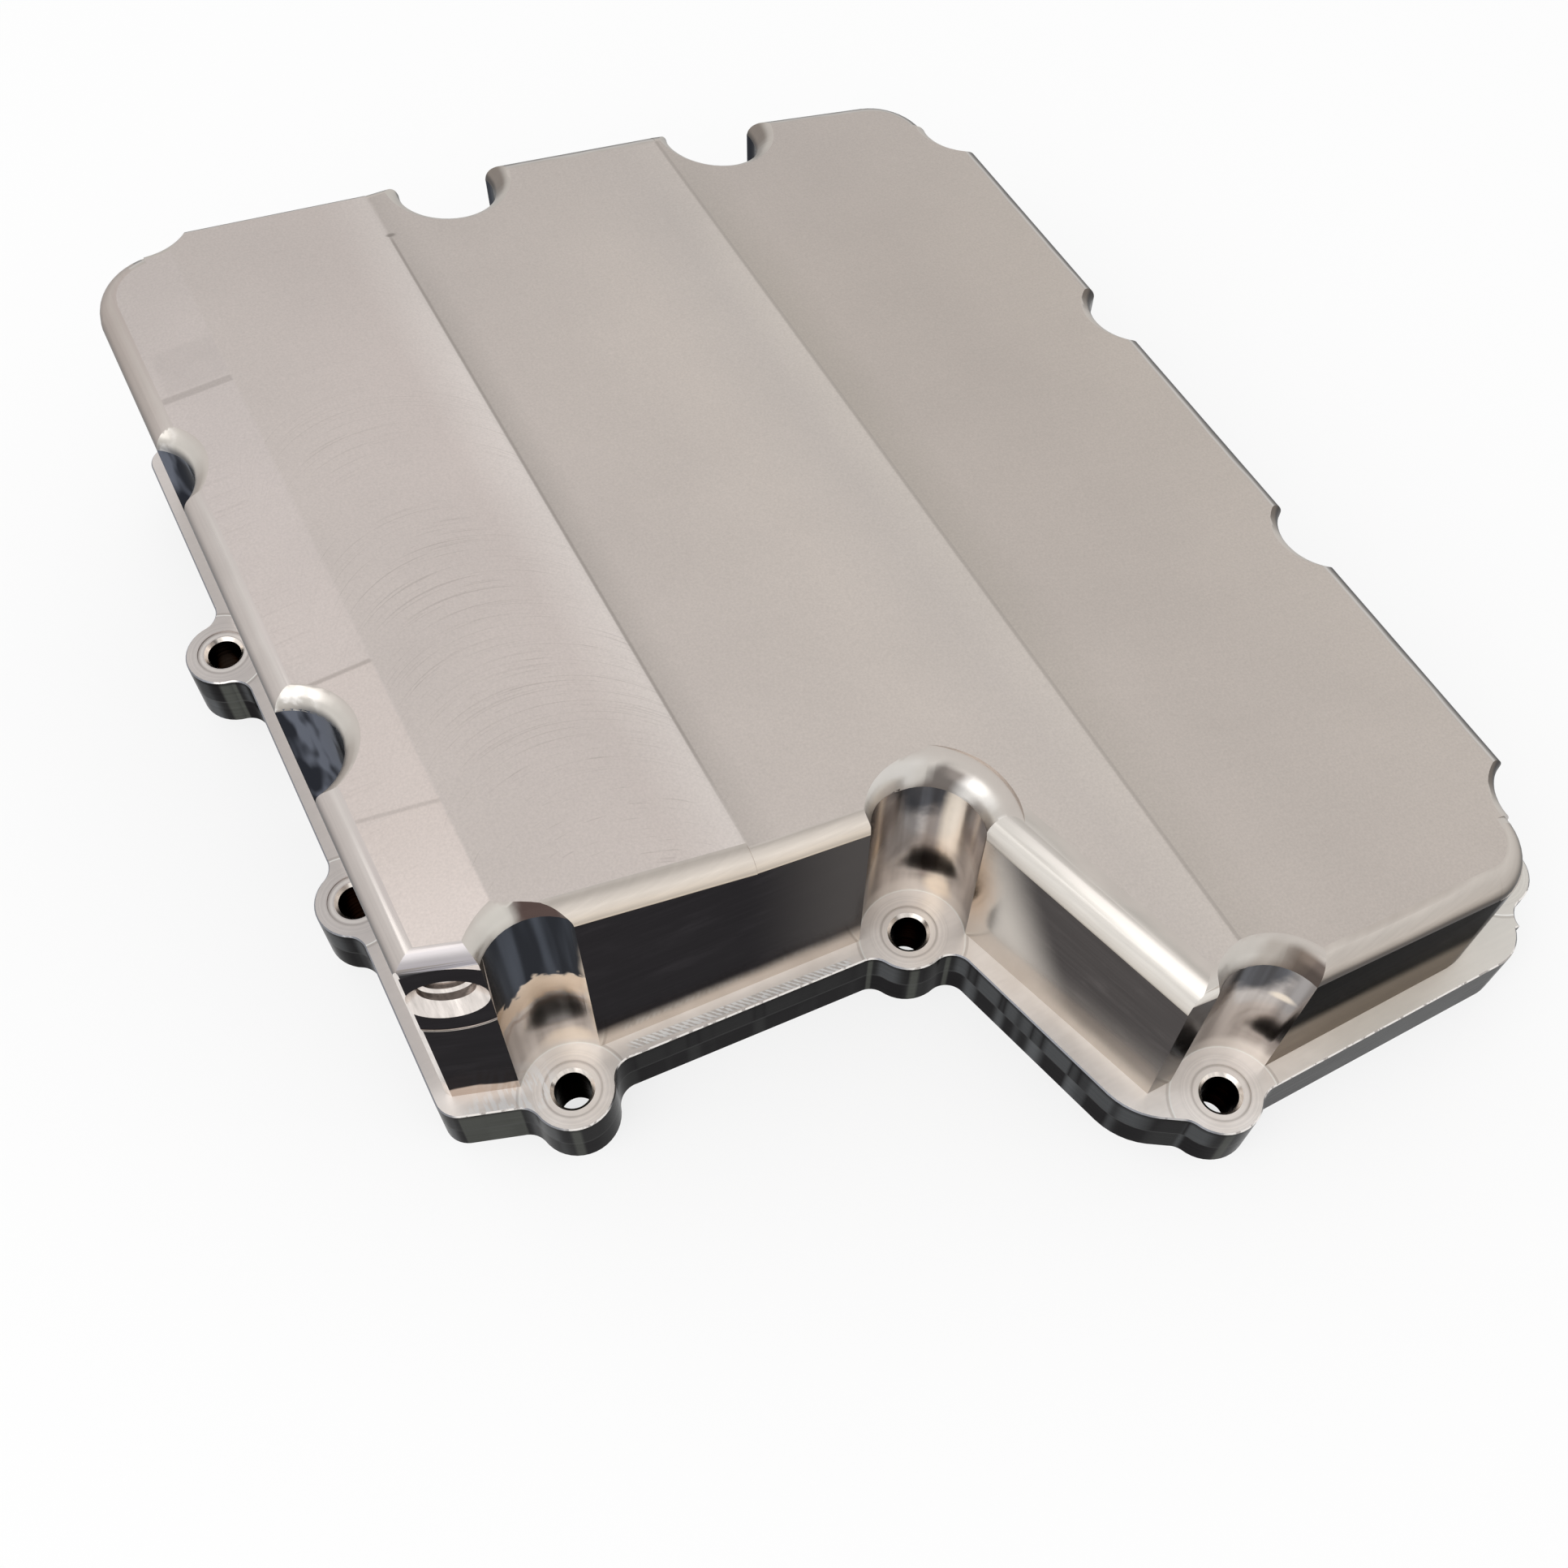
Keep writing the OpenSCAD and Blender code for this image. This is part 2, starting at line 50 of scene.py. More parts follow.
# %% [markdown]
# ## Measures
# All places are measured in millimetres from the bolt hole nearest the drain
# port, with X across the pan and Y along it. The pan's own origin is the middle
# of its gasket face, so one helper turns a place on the pan into a place in the
# scene. A bolt is written as the place of its hole and the direction in which its
# pocket opens. The rims of four pockets lean with the floor, and the rest are level.

# %% Name the measures
ORIGIN = Vector((72.0, 61.6, 0.0))
FLANGE_TOP = 13.0
HOLE_MOUTH_R = 4.2
POCKET_R = 9.5
POCKET_SHIFT = 1.2
RIM_REACH = 5.8
CREST_X, MID_CREASE_X, FAR_CREASE_X = -2.5, 37.0, 98.0
BOLTS = [
    ((0, 0), -90), ((65.3, -0.9), -90), ((97.2, -51.8), -90),
    ((165.5, -39.6), 0), ((167.5, 24.6), 0), ((167.5, 88.8), 0), ((165.5, 153.0), 0),
    ((110.9, 165.8), 90), ((53.2, 169.6), 90), ((-6.0, 175.0), 90),
    ((-23.5, 114.0), 180), ((-19.9, 50.8), 180),
]
LEANING_RIMS = (1, 2, 7, 8)
PORT_AT, PORT_ANGLE, PORT_Z = Vector((-13.624, 6.457)), -18.9, 51.2
PORT_DEPTH, PORT_MOUTH_R = 13.5, 6.6


def on_pan(x, y, z=0.0):
    """A place measured on the pan, as a place in the scene."""
    return (Vector((x, y, z)) - ORIGIN) * MM


def pocket_centre(bolt):
    """The middle of the tool pocket over a bolt, a little way out from the hole."""
    (x, y), out = bolt
    a = math.radians(out)
    return x + POCKET_SHIFT * math.cos(a), y + POCKET_SHIFT * math.sin(a)


print(len(BOLTS), "bolt holes,", len(LEANING_RIMS), "of them under a leaning rim")

# %% [markdown]
# ## The camera
# The photograph was taken from above the drain port's end with a lens a little
# wider than normal. A camera turns first about the upright, then tips back
# from looking straight down, and last rolls about its own axis, so its matrix is
# those three turns one after the other.

# %% Place the camera
camera = bpy.data.objects.new("camera", bpy.data.cameras.new("camera"))
bpy.context.scene.collection.objects.link(camera)
camera.data.lens = 39.19
camera.data.sensor_width = 36.0
camera.data.clip_start = 0.01
turns = (
    Matrix.Rotation(math.radians(-28.74), 4, "Z")
    @ Matrix.Rotation(math.radians(30.77), 4, "X")
    @ Matrix.Rotation(math.radians(1.018), 4, "Z")
)
camera.matrix_world = Matrix.Translation(on_pan(-18.97, -107.21, 288.37)) @ turns
bpy.context.scene.camera = camera
print("the camera stands", round(camera.location.length / MM), "mm from the pan's middle")

# %% [markdown]
# ## A plain studio
# The world is an even pale dome, and a large soft lamp stands high on the deep
# side of the pan. Several small lamps would each leave a glint in the shiny metal,
# and a dome with one large lamp leaves broad soft light instead. Together they
# light a white metal card to just about white, so that every colour below looks
# as written.

# %% Light it
WORLD_LIGHT, LAMP_WATTS, LAMP_SIZE = 0.89, 3.6, 1.1
scene = bpy.context.scene
scene.view_settings.view_transform = "Standard"
world = bpy.data.worlds.new("studio")
scene.world = world
world.use_nodes = True
dome = world.node_tree.nodes["Background"].inputs
dome["Color"].default_value = (1.0, 1.0, 1.0, 1.0)
dome["Strength"].default_value = WORLD_LIGHT


def soft_lamp(name, place, target, size, watts):
    """A square area lamp at one place, aimed at another."""
    lamp = bpy.data.objects.new(name, bpy.data.lights.new(name, "AREA"))
    lamp.data.size = size
    lamp.data.energy = watts
    lamp.location = place
    lamp.rotation_euler = (Vector(target) - Vector(place)).to_track_quat("-Z", "Y").to_euler()
    scene.collection.objects.link(lamp)


soft_lamp("lamp_over", (-0.75, -0.35, 0.9), (0, 0, 0), LAMP_SIZE, LAMP_WATTS)
print("the dome shines at", WORLD_LIGHT, "and the lamp at", LAMP_WATTS, "watts")

# %% [markdown]
# ## A floor like a page
# The pan stands on a wide pale floor that catches its shadow. For the camera,
# and in what the metal mirrors, the floor is mixed with plain white, which
# makes it a page with a soft shadow on it. For all other light it stays a matt
# board. A Light Path node tells the two kinds of ray apart.

# %% Lay the floor
WHITE_SHARE = 0.75


def new_material(name):
    """A material with its shader, and the node tree to work in."""
    material = bpy.data.materials.new(name)
    material.use_nodes = True
    tree = material.node_tree
    return material, tree, tree.nodes["Principled BSDF"]


floor_finish, tree, shader = new_material("studio_floor")
shader.inputs["Base Color"].default_value = (0.94, 0.94, 0.94, 1.0)
shader.inputs["Roughness"].default_value = 0.9
shader.inputs["Specular IOR Level"].default_value = 0.0
rays = tree.nodes.new("ShaderNodeLightPath")
page = tree.nodes.new("ShaderNodeEmission")
blend = tree.nodes.new("ShaderNodeMixShader")
seen_or_mirrored, any_of_three, share = (tree.nodes.new("ShaderNodeMath") for _ in range(3))
seen_or_mirrored.operation = any_of_three.operation = "MAXIMUM"
share.operation = "MULTIPLY"
share.inputs[1].default_value = WHITE_SHARE
for out_socket, in_socket in (
    (rays.outputs["Is Camera Ray"], seen_or_mirrored.inputs[0]),
    (rays.outputs["Is Glossy Ray"], seen_or_mirrored.inputs[1]),
    (seen_or_mirrored.outputs[0], any_of_three.inputs[0]),
    (rays.outputs["Is Transmission Ray"], any_of_three.inputs[1]),
    (any_of_three.outputs[0], share.inputs[0]),
    (share.outputs[0], blend.inputs[0]),
    (shader.outputs[0], blend.inputs[1]),
    (page.outputs[0], blend.inputs[2]),
    (blend.outputs[0], tree.nodes["Material Output"].inputs["Surface"]),
):
    tree.links.new(out_socket, in_socket)
bpy.ops.mesh.primitive_plane_add(size=6.0, location=(0, 0, -0.0002))
studio_floor = bpy.context.object
studio_floor.name = "studio_floor"
studio_floor.data.materials.append(floor_finish)
print("the floor is", round(studio_floor.dimensions.x), "m wide")

# %% [markdown]
# ## The pan's mesh
# The solid arrives as triangles, each face of the solid on its own. The copy
# welds them and joins flat triangles into whole faces. The pan could be modelled
# afresh with modifiers, but a copy of the solid keeps every measure.

# %% Copy and clean the solid
WELD = 0.002 * MM
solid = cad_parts["oil_pan"]
pan_mesh = bpy.data.meshes.new("pan")
pan = bpy.data.objects.new("pan", pan_mesh)
scene.collection.objects.link(pan)
bm = bmesh.new()
bm.from_mesh(solid.data)
bmesh.ops.remove_doubles(bm, verts=bm.verts, dist=WELD)
bmesh.ops.dissolve_limit(
    bm, angle_limit=math.radians(0.4), verts=bm.verts, edges=bm.edges, delimit={"NORMAL"}
)
print("the cleaned mesh has", len(bm.faces), "faces")

# %% [markdown]
# ## Which cutter made which face
# The floor was milled with a wide cutter, the walls with the side of a
# long end mill, the pockets by plunging, and the flange last. Each face of the
# mesh is sorted by the way it looks and where it lies, and takes the finish that
# its cutter left. A ray straight up tells the inside from the outside: only
# inside is there a ceiling overhead.

# %% Know where a face lies
tree_of_pan = BVHTree.FromBMesh(bm)
centres = [Vector(pocket_centre(bolt)) for bolt in BOLTS]
holes = [Vector(bolt[0]) for bolt in BOLTS]
port_turn = math.radians(PORT_ANGLE)
port_out = Vector((math.sin(port_turn), -math.cos(port_turn)))
port_across = Vector((-port_out.y, port_out.x))


def under_ceiling(place, normal):
    """Whether the pan's floor is overhead, as it is everywhere inside."""
    start = place + normal * 0.3 * MM
    return tree_of_pan.ray_cast(start, Vector((0, 0, 1)))[0] is not None


def port_place(at):
    """How far a place stands out of the port wall, and off the port's axis."""
    away = at.to_2d() - PORT_AT
    return away.dot(port_out), math.hypot(away.dot(port_across), at.z - PORT_Z)


def wall_name(at):
    """Which wall, and so which edge round, is at a place."""
    if at.y > 6 and at.x < (-15 if at.y < 140 else -10):
        return "deep"
    if at.x < 2 and at.y < 9:
        return "port"
    if at.y < 8 and at.x < 66:
        return "long"
    if at.y < 9 and at.x < 90 and at.y > -46.3:
        return "slant"
    if at.y < -38:
        return "front"
    return "far"


print("the port faces", [round(part, 2) for part in port_out])

# %% [markdown]
# ## Sorting in order
# The tests run from the plain cases to the fine ones: holes, gasket face and
# inside first, then the flange, the floor and the pockets, and last the rims and
# rounds, which differ only in where they face. A face of a rim looks at the
# middle of its pocket. The tests return at the first that fits.

# %% Give each face its finish
NEARLY_UP, NEARLY_UPRIGHT = 0.955, 0.06
LEVEL_RIM, LEANING_RIM, ANY_WAY = 0.97, 0.8, -1.0


def finish_of(face):
    """The name of the finish that a face of the pan gets."""
    n = face.normal
    place = face.calc_center_median()
    at = place / MM + ORIGIN
    flat_at = at.to_2d()
    hole_gap = min((flat_at - hole).length for hole in holes)
    if hole_gap < HOLE_MOUTH_R and at.z < FLANGE_TOP + 0.1 and abs(n.z) < 0.9:
        return "bore"
    out, off = port_place(at)
    in_port = -PORT_DEPTH < out < -0.1 and off < PORT_MOUTH_R
    if in_port and abs(n.to_2d().dot(port_out)) < 0.95:
        return "port_bore"
    if n.z < -0.5 and at.z < 0.5:
        return "gasket"
    if n.z < 0.5 and under_ceiling(place, n):
        return "inside"
    if at.z < FLANGE_TOP - 0.5:
        return "side"
    if n.z > 0.95 and at.z < FLANGE_TOP + 1:
        return "ledge"
    if n.z > NEARLY_UP and face.calc_area() > 60 * MM * MM:
        return "floor"
    nearest = min(centres, key=lambda c: abs((flat_at - c).length - POCKET_R))
    away = (flat_at - nearest).length
    if n.z < NEARLY_UPRIGHT:
        if abs(away - POCKET_R) < 0.25:
            return "pocket"
        heights = [v.co.z for v in face.verts]
        small_step = max(heights) - min(heights) < 2.5 * MM and away < 16
        return "floor" if small_step else "wall_" + wall_name(at)
    looks_in = n.to_2d().normalized().dot((nearest - flat_at).normalized())
    if looks_in > 0.9 and n.z < 0.5 and POCKET_R + 4 < away < POCKET_R + 6:
        return "floor"
    limit = LEVEL_RIM
    if centres.index(nearest) in LEANING_RIMS:
        limit = LEANING_RIM if n.z < NEARLY_UP else ANY_WAY
    if looks_in > limit and POCKET_R - 0.3 < away < POCKET_R + RIM_REACH:
        return "flare"
    return "round_" + wall_name(at)


# %% [markdown]
# ## Rims that run out to nothing
# Where a flared rim meets the sloping floor the two cuts leave a step of a few
# tenths of a millimetre, which a touch with a fine stone takes away. Here
# each short upright edge of the step is welded to its upper end.

# %% Stone off the steps
HIGHEST_STEP = 0.5 * MM
raised = {}
for edge in bm.edges:
    low, high = sorted(edge.verts, key=lambda v: v.co.z)
    rise = high.co.z - low.co.z
    at = low.co / MM + ORIGIN
    beside_rim = any(POCKET_R + 2 < (at.to_2d() - c).length < POCKET_R + 6 for c in centres)
    if beside_rim and at.z > 20 and 0.95 * edge.calc_length() < rise < HIGHEST_STEP:
        raised[low] = high
for low in list(raised):
    while raised[low] in raised:
        raised[low] = raised[raised[low]]
bmesh.ops.weld_verts(bm, targetmap=raised)
bmesh.ops.dissolve_degenerate(bm, dist=WELD, edges=bm.edges)
print("stoned off", len(raised), "short edges")

# %% [markdown]
# ## One slot for each finish
# Each finish gets a slot on the mesh, in the order of the alphabet, and each face
# takes the number of its slot. Separate objects could carry the finishes, but
# the pan is one piece, so it stays one mesh.

# %% Sort the faces
names = [finish_of(face) for face in bm.faces]
FINISHES = sorted(set(names))
SLOT = {name: i for i, name in enumerate(FINISHES)}
for face, name in zip(bm.faces, names):
    face.material_index = SLOT[name]
    face.smooth = True
print("faces by finish:", {name: names.count(name) for name in FINISHES})

# %% [markdown]
# ## Broken edges
# A machinist never leaves the rim of a flange sharp. A small flat bevel, cut
# at 45 degrees, runs round the top of it, and it catches the light as a thin
# bright line. A Bevel modifier would do this to every sharp edge, so the bevel
# tool is given only the edges between the flange's top and its side.

# %% Bevel the flange
BEVEL = 0.85 * MM


def joins(edge, a, b):
    """Whether an edge lies between faces of two finishes."""
    return {f.material_index for f in edge.link_faces} == {SLOT[a], SLOT[b]}


FINISHES.append("edge")
SLOT["edge"] = len(FINISHES) - 1
rim = [
    e for e in bm.edges
    if len(e.link_faces) == 2 and joins(e, "ledge", "side") and e.is_convex
]
bmesh.ops.bevel(
    bm, geom=rim, offset=BEVEL, offset_type="OFFSET", segments=1, affect="EDGES",
    profile=0.5, clamp_overlap=True, material=SLOT["edge"],
)
print("bevelled", len(rim), "edges of the flange")

# %% [markdown]
# ## The thread of the drain port
# A thread is a ridge wound round the bore. A Screw modifier could wind it, but
# the ridge has to be part of the pan's own mesh, so it is built section by section
# from a small trapezium that climbs one pitch with every turn. Its two feet are
# just under the surface of the bore, so that no gap shows. START is where it
# begins, in millimetres behind the port's face.

# %% Wind the thread
PITCH, TURNS, STEPS = 1.5, 6.6, 48
FOOT_R, CREST_R, START = 4.6, 3.95, -2.9
HALF_FOOT, HALF_CREST = 0.62, 0.06
PROFILE = (
    (FOOT_R, HALF_FOOT), (CREST_R, HALF_CREST), (CREST_R, -HALF_CREST), (FOOT_R, -HALF_FOOT)
)
up = Vector((0, 0, 1))
port_axis = Vector((*PORT_AT, PORT_Z))
sections = []
for i in range(int(TURNS * STEPS) + 1):
    a = 2 * math.pi * i / STEPS
    out = START - PITCH * i / STEPS
    section = []
    for radius, shift in PROFILE:
        place = port_axis + port_out.to_3d() * (out + shift)
        place += (port_across.to_3d() * math.cos(a) + up * math.sin(a)) * radius
        section.append(bm.verts.new((place - ORIGIN) * MM))
    sections.append(section)
thread_faces = [bm.faces.new(sections[0]), bm.faces.new(list(reversed(sections[-1])))]
for one, two in zip(sections, sections[1:]):
    for k in range(len(PROFILE)):
        m = (k + 1) % len(PROFILE)
        thread_faces.append(bm.faces.new((one[k], two[k], two[m], one[m])))
bmesh.ops.recalc_face_normals(bm, faces=thread_faces)
for face in thread_faces:
    face.material_index = SLOT["port_bore"]
    face.smooth = True
print("thread:", len(thread_faces), "faces")

# %% [markdown]
# ## Flat faces stay flat
# Smooth shading blends the light across every edge that isn't marked sharp.
# The creases between the floor's four slopes are only a few degrees, so they get
# a finer limit than the rest. A Weighted Normal modifier then lets the wide flat
# faces decide the shading at the edges that they share with the narrow rounds. It
# works only on a group of corners, those of the broad faces, because it would
# make the flared rims look blocky.

# %% Mark the sharp edges
SHARP, SHARP_ON_FLOOR = math.radians(24), math.radians(1.5)
for edge in bm.edges:
    if len(edge.link_faces) == 2:
        limit = SHARP_ON_FLOOR if joins(edge, "floor", "floor") else SHARP
        edge.smooth = edge.calc_face_angle(0.0) < limit
bm.to_mesh(pan_mesh)
bm.free()
print("sharp edges:", sum(e.use_edge_sharp for e in pan_mesh.edges))

# %% Let the broad faces decide
BROAD = ("floor", "ledge", "side", "gasket", "inside")
broad = [i for i, name in enumerate(FINISHES) if name in BROAD or name.startswith("wall")]
corners = {v for p in pan_mesh.polygons if p.material_index in broad for v in p.vertices}
beside_flats = pan.vertex_groups.new(name="beside_flats")
beside_flats.add(sorted(corners), 1.0, "REPLACE")
weighting = pan.modifiers.new("flat faces first", "WEIGHTED_NORMAL")
weighting.keep_sharp = True
weighting.weight = 90
weighting.vertex_group = beside_flats.name
print("corners of broad faces:", len(corners))

# %% [markdown]
# ## Words for finishes
# Every finish below is aluminium, so each is a metallic shader with its own
# colour, roughness and bump. The small class keeps the node trees readable: each
# of its words adds a node or two and gives back the socket to use next. Places
# are in millimetres on the pan, as in a drawing. A metal shines whiter at a
# grazing view, and a lower edge value holds that back where a wall has to stay dark.

# %% The finish class
STUDIO = 0.93


def tone(r, g, b):
    """A colour seen on the finished part, as the metal colour that shows it here."""
    def linear(c):
        c /= 255
        return c / 12.92 if c <= 0.04045 else ((c + 0.055) / 1.055) ** 2.4
    return tuple(min(1.0, linear(c) / STUDIO) for c in (r, g, b))


class Finish:
    """A metal finish of the pan, and the words that build its node tree."""

    def __init__(self, name, edge=1.0):
        self.material, self.tree, self.shader = new_material("pan_" + name)
        self.shader.inputs["Metallic"].default_value = 1.0
        self.shader.inputs["Specular Tint"].default_value = (edge, edge, edge, 1.0)
        where = self.node("ShaderNodeTexCoord").outputs["Object"]
        place = self.node("ShaderNodeVectorMath", operation="MULTIPLY_ADD")
        self.feed(place.inputs[0], where)
        place.inputs[1].default_value = (1 / MM, 1 / MM, 1 / MM)
        place.inputs[2].default_value = ORIGIN
        self.place = place.outputs[0]
        self.x, self.y, self.z = self.parts(self.place)
        normal = self.node("ShaderNodeNewGeometry").outputs["Normal"]
        self.nx, self.ny, self.nz = self.parts(normal)

    def node(self, kind, **settings):
        made = self.tree.nodes.new(kind)
        for key, value in settings.items():
            setattr(made, key, value)
        return made

    def feed(self, socket, value):
        """Put a link, a colour or a number into a socket."""
        if isinstance(value, bpy.types.NodeSocket):
            self.tree.links.new(value, socket)
        elif hasattr(value, "__len__") and len(value) == 3 and socket.type == "RGBA":
            socket.default_value = (*value, 1.0)
        else:
            socket.default_value = value

    def parts(self, vector):
        split = self.node("ShaderNodeSeparateXYZ")
        self.feed(split.inputs[0], vector)
        return split.outputs

    # Numbers

    def maths(self, operation, *values):
        made = self.node("ShaderNodeMath", operation=operation)
        for socket, value in zip(made.inputs, values):
            self.feed(socket, value)
        return made.outputs[0]

    def add(self, *values):
        total = values[0]
        for value in values[1:]:
            total = self.maths("ADD", total, value)
        return total

    def times(self, *values):
        total = values[0]
        for value in values[1:]:
            total = self.maths("MULTIPLY", total, value)
        return total

    def sway(self, noise, amount):
        """A noise about 0.5 as a shift about 0 that spans an amount."""
        return self.times(self.add(noise, -0.5), amount)

    def bow(self, value, radius, least=0.0):
        """The rise of a circle of a radius, at a distance from its middle."""
        room = self.maths("SUBTRACT", radius ** 2, self.times(value, value))
        return self.maths("SQRT", self.maths("MAXIMUM", room, least))

    # Masks

    def fade(self, value, low, high, start=0.0, end=1.0):
        """A soft step of value, from start below low to end above high."""
        made = self.node("ShaderNodeMapRange", interpolation_type="SMOOTHSTEP")
        for socket, number in zip(made.inputs, (value, low, high, start, end)):
            self.feed(socket, number)
        return made.outputs[0]

    def strip(self, value, middle, width, soft):
        """1 in a strip of value about middle, and 0 outside it."""
        off = self.maths("ABSOLUTE", self.maths("SUBTRACT", value, middle))
        return self.fade(off, width / 2, width / 2 + soft, 1.0, 0.0)

    def distance(self, place):
        """How far it is to a place on the pan."""
        made = self.node("ShaderNodeVectorMath", operation="DISTANCE")
        self.feed(made.inputs[0], self.place)
        made.inputs[1].default_value = place
        return made.outputs["Value"]

    def spot(self, centre, size, soft=0.5, ragged=0.0):
        """1 inside an egg about centre, and 0 outside it."""
        off = self.node("ShaderNodeVectorMath", operation="SUBTRACT")
        self.feed(off.inputs[0], self.place)
        off.inputs[1].default_value = centre
        scaled = self.node("ShaderNodeVectorMath", operation="DIVIDE")
        self.feed(scaled.inputs[0], off.outputs[0])
        scaled.inputs[1].default_value = size
        far = self.node("ShaderNodeVectorMath", operation="LENGTH")
        self.feed(far.inputs[0], scaled.outputs[0])
        reach = far.outputs["Value"]
        if ragged:
            reach = self.add(reach, self.sway(self.noise(0.25, 3), ragged))
        return self.fade(reach, 1 - soft, 1 + soft, 1.0, 0.0)

    # Marks

    def noise(self, scale, detail=2.0, stretch=(1, 1, 1)):
        """Even noise whose lumps measure about 1 / scale mm, drawn out by stretch."""
        shape = self.node("ShaderNodeVectorMath", operation="MULTIPLY")
        self.feed(shape.inputs[0], self.place)
        shape.inputs[1].default_value = stretch
        made = self.node("ShaderNodeTexNoise")
        self.feed(made.inputs["Vector"], shape.outputs[0])
        made.inputs["Scale"].default_value = scale
        made.inputs["Detail"].default_value = detail
        return made.outputs["Fac"]

    def lines(self, value, pitch, along, run):
        """Fine lines at steps of value, which come and go over a run of along."""
        join = self.node("ShaderNodeCombineXYZ")
        self.feed(join.inputs[0], self.times(value, 1 / pitch))
        self.feed(join.inputs[1], self.times(along, 1 / run))
        made = self.node("ShaderNodeTexNoise")
        self.feed(made.inputs["Vector"], join.outputs[0])
        made.inputs["Scale"].default_value = 1.0
        made.inputs["Detail"].default_value = 2.0
        return made.outputs["Fac"]

    # Colours

    def mix(self, factor, a, b):
        made = self.node("ShaderNodeMix", data_type="RGBA", blend_type="MIX")
        self.feed(made.inputs["Factor"], factor)
        self.feed(made.inputs[6], a)
        self.feed(made.inputs[7], b)
        return made.outputs[2]

    def coat(self, colour, mask, rgb):
        """The colour with another tone laid over it where a mask is 1."""
        return self.mix(mask, colour, tone(*rgb))

    def shade(self, colour, value, amount):
        """The colour made lighter and darker by a value about 0.5."""
        gain = self.maths("MULTIPLY_ADD", value, 2 * amount, 1 - amount)
        made = self.node("ShaderNodeVectorMath", operation="SCALE")
        self.feed(made.inputs[0], colour)
        self.feed(made.inputs["Scale"], gain)
        return made.outputs[0]

    def ramp(self, value, stops):
        """Tones along a value, each from its own stop."""
        made = self.node("ShaderNodeValToRGB")
        band = made.color_ramp
        while len(band.elements) < len(stops):
            band.elements.new(0.5)
        for element, (where, rgb) in zip(band.elements, stops):
            element.position = where
            element.color = (*tone(*rgb), 1.0)
        self.feed(made.inputs[0], value)
        return made.outputs[0]

    def done(self, colour, roughness, height, depth):
        """Join it all to the shader, with a bump of a depth in millimetres."""
        self.feed(self.shader.inputs["Base Color"], colour)
        self.feed(self.shader.inputs["Roughness"], roughness)
        bump = self.node("ShaderNodeBump")
        bump.inputs["Distance"].default_value = depth * MM
        self.feed(bump.inputs["Height"], height)
        self.feed(self.shader.inputs["Normal"], bump.outputs[0])
        return self.material


PLAIN = (0.5, 0.5, 0.5)
made_finishes = {}
print("the studio shows a metal at", STUDIO, "of its own colour")

# %% [markdown]
# ## The milled floor
# The four slopes of the floor are satin, each a shade apart, because each faces
# a little more or less towards the light. The studio is too even to show that,
# so a colour ramp across the pan gives them their tones, with a hard change at
# each crease. A ramp stays on the measures, which a painted picture may not.

# %% Paint the four slopes
FLOOR_FROM, FLOOR_SPAN = -20.0, 184.0
f = Finish("floor")
across = f.maths("MULTIPLY_ADD", f.x, 1 / FLOOR_SPAN, -FLOOR_FROM / FLOOR_SPAN)
slope_tones = [
    (FLOOR_FROM, (202, 193, 189)), (CREST_X - 0.2, (202, 193, 189)),
    (CREST_X + 0.2, (199, 190, 185)), (27, (201, 191, 186)),
    (MID_CREASE_X - 0.3, (216, 208, 203)), (MID_CREASE_X + 0.2, (178, 170, 164)),
    (43, (193, 184, 178)), (75, (197, 188, 181)),
    (90, (193, 185, 179)), (FAR_CREASE_X - 0.3, (200, 192, 185)),
    (FAR_CREASE_X + 0.3, (176, 168, 160)), (108, (185, 176, 169)),
    (130, (184, 175, 168)), (163, (189, 180, 172)),
]
colour = f.ramp(across, [((x - FLOOR_FROM) / FLOOR_SPAN, rgb) for x, rgb in slope_tones])
deep_part = f.fade(f.x, CREST_X + 0.3, CREST_X - 0.3)
past_crest = f.fade(f.x, CREST_X - 0.3, CREST_X + 0.3)
past_middle = f.fade(f.x, MID_CREASE_X - 0.3, MID_CREASE_X + 0.3)
strip_part = f.times(past_crest, f.fade(f.x, MID_CREASE_X + 0.3, MID_CREASE_X - 0.3))
colour = f.coat(colour, f.times(f.fade(f.y, 110, -45), 0.35), (203, 194, 187))
colour = f.coat(colour, f.times(f.fade(f.y, 110, 170), 0.5), (183, 175, 170))
print(len(slope_tones), "tones across the floor")

# %% [markdown]
# ## Marks of the cutter on the floor
# The cutter went round in arcs on the second slope, which show as faint broken
# lines, and swept wide rings over the two others. It stopped and started again
# across the deep side, which left three faint steps, each a shade lighter than
# the last towards the front. All of them are far finer than the mesh, so they are
# drawn in the finish: a noise that is squeezed one way and stretched the other
# turns into fine lines.

# %% Add the arcs and the grain of the floor
steps = f.add(
    f.times(f.fade(f.y, 31.6, 31.2), 0.35), f.times(f.fade(f.y, 60.2, 59.8), 0.4),
    f.times(f.fade(f.y, 115, 62), 0.35),
)
colour = f.coat(colour, f.times(deep_part, steps), (211, 200, 194))
colour = f.coat(colour, f.times(deep_part, f.fade(f.y, 32, 8)), (222, 211, 205))
along_arcs = f.maths("SUBTRACT", f.y, f.bow(f.add(f.x, -17), 26.0))
arcs = f.lines(along_arcs, 0.34, f.x, 26)
dashes = f.lines(along_arcs, 0.5, f.x, 7)
worn = f.noise(0.03, 2)
strong = f.times(f.fade(arcs, 0.56, 0.66), f.fade(worn, 0.4, 0.56), f.strip(f.y, 72, 44, 40))
short = f.times(f.fade(dashes, 0.64, 0.72), f.fade(f.y, -30, 120, 0.9, 0.25))
marks = f.times(f.add(strong, short), f.add(f.times(strip_part, 0.9), f.times(deep_part, 0.35)))
wide = f.lines(f.distance((150.0, 150.0, 50.0)), 0.5, f.y, 22)
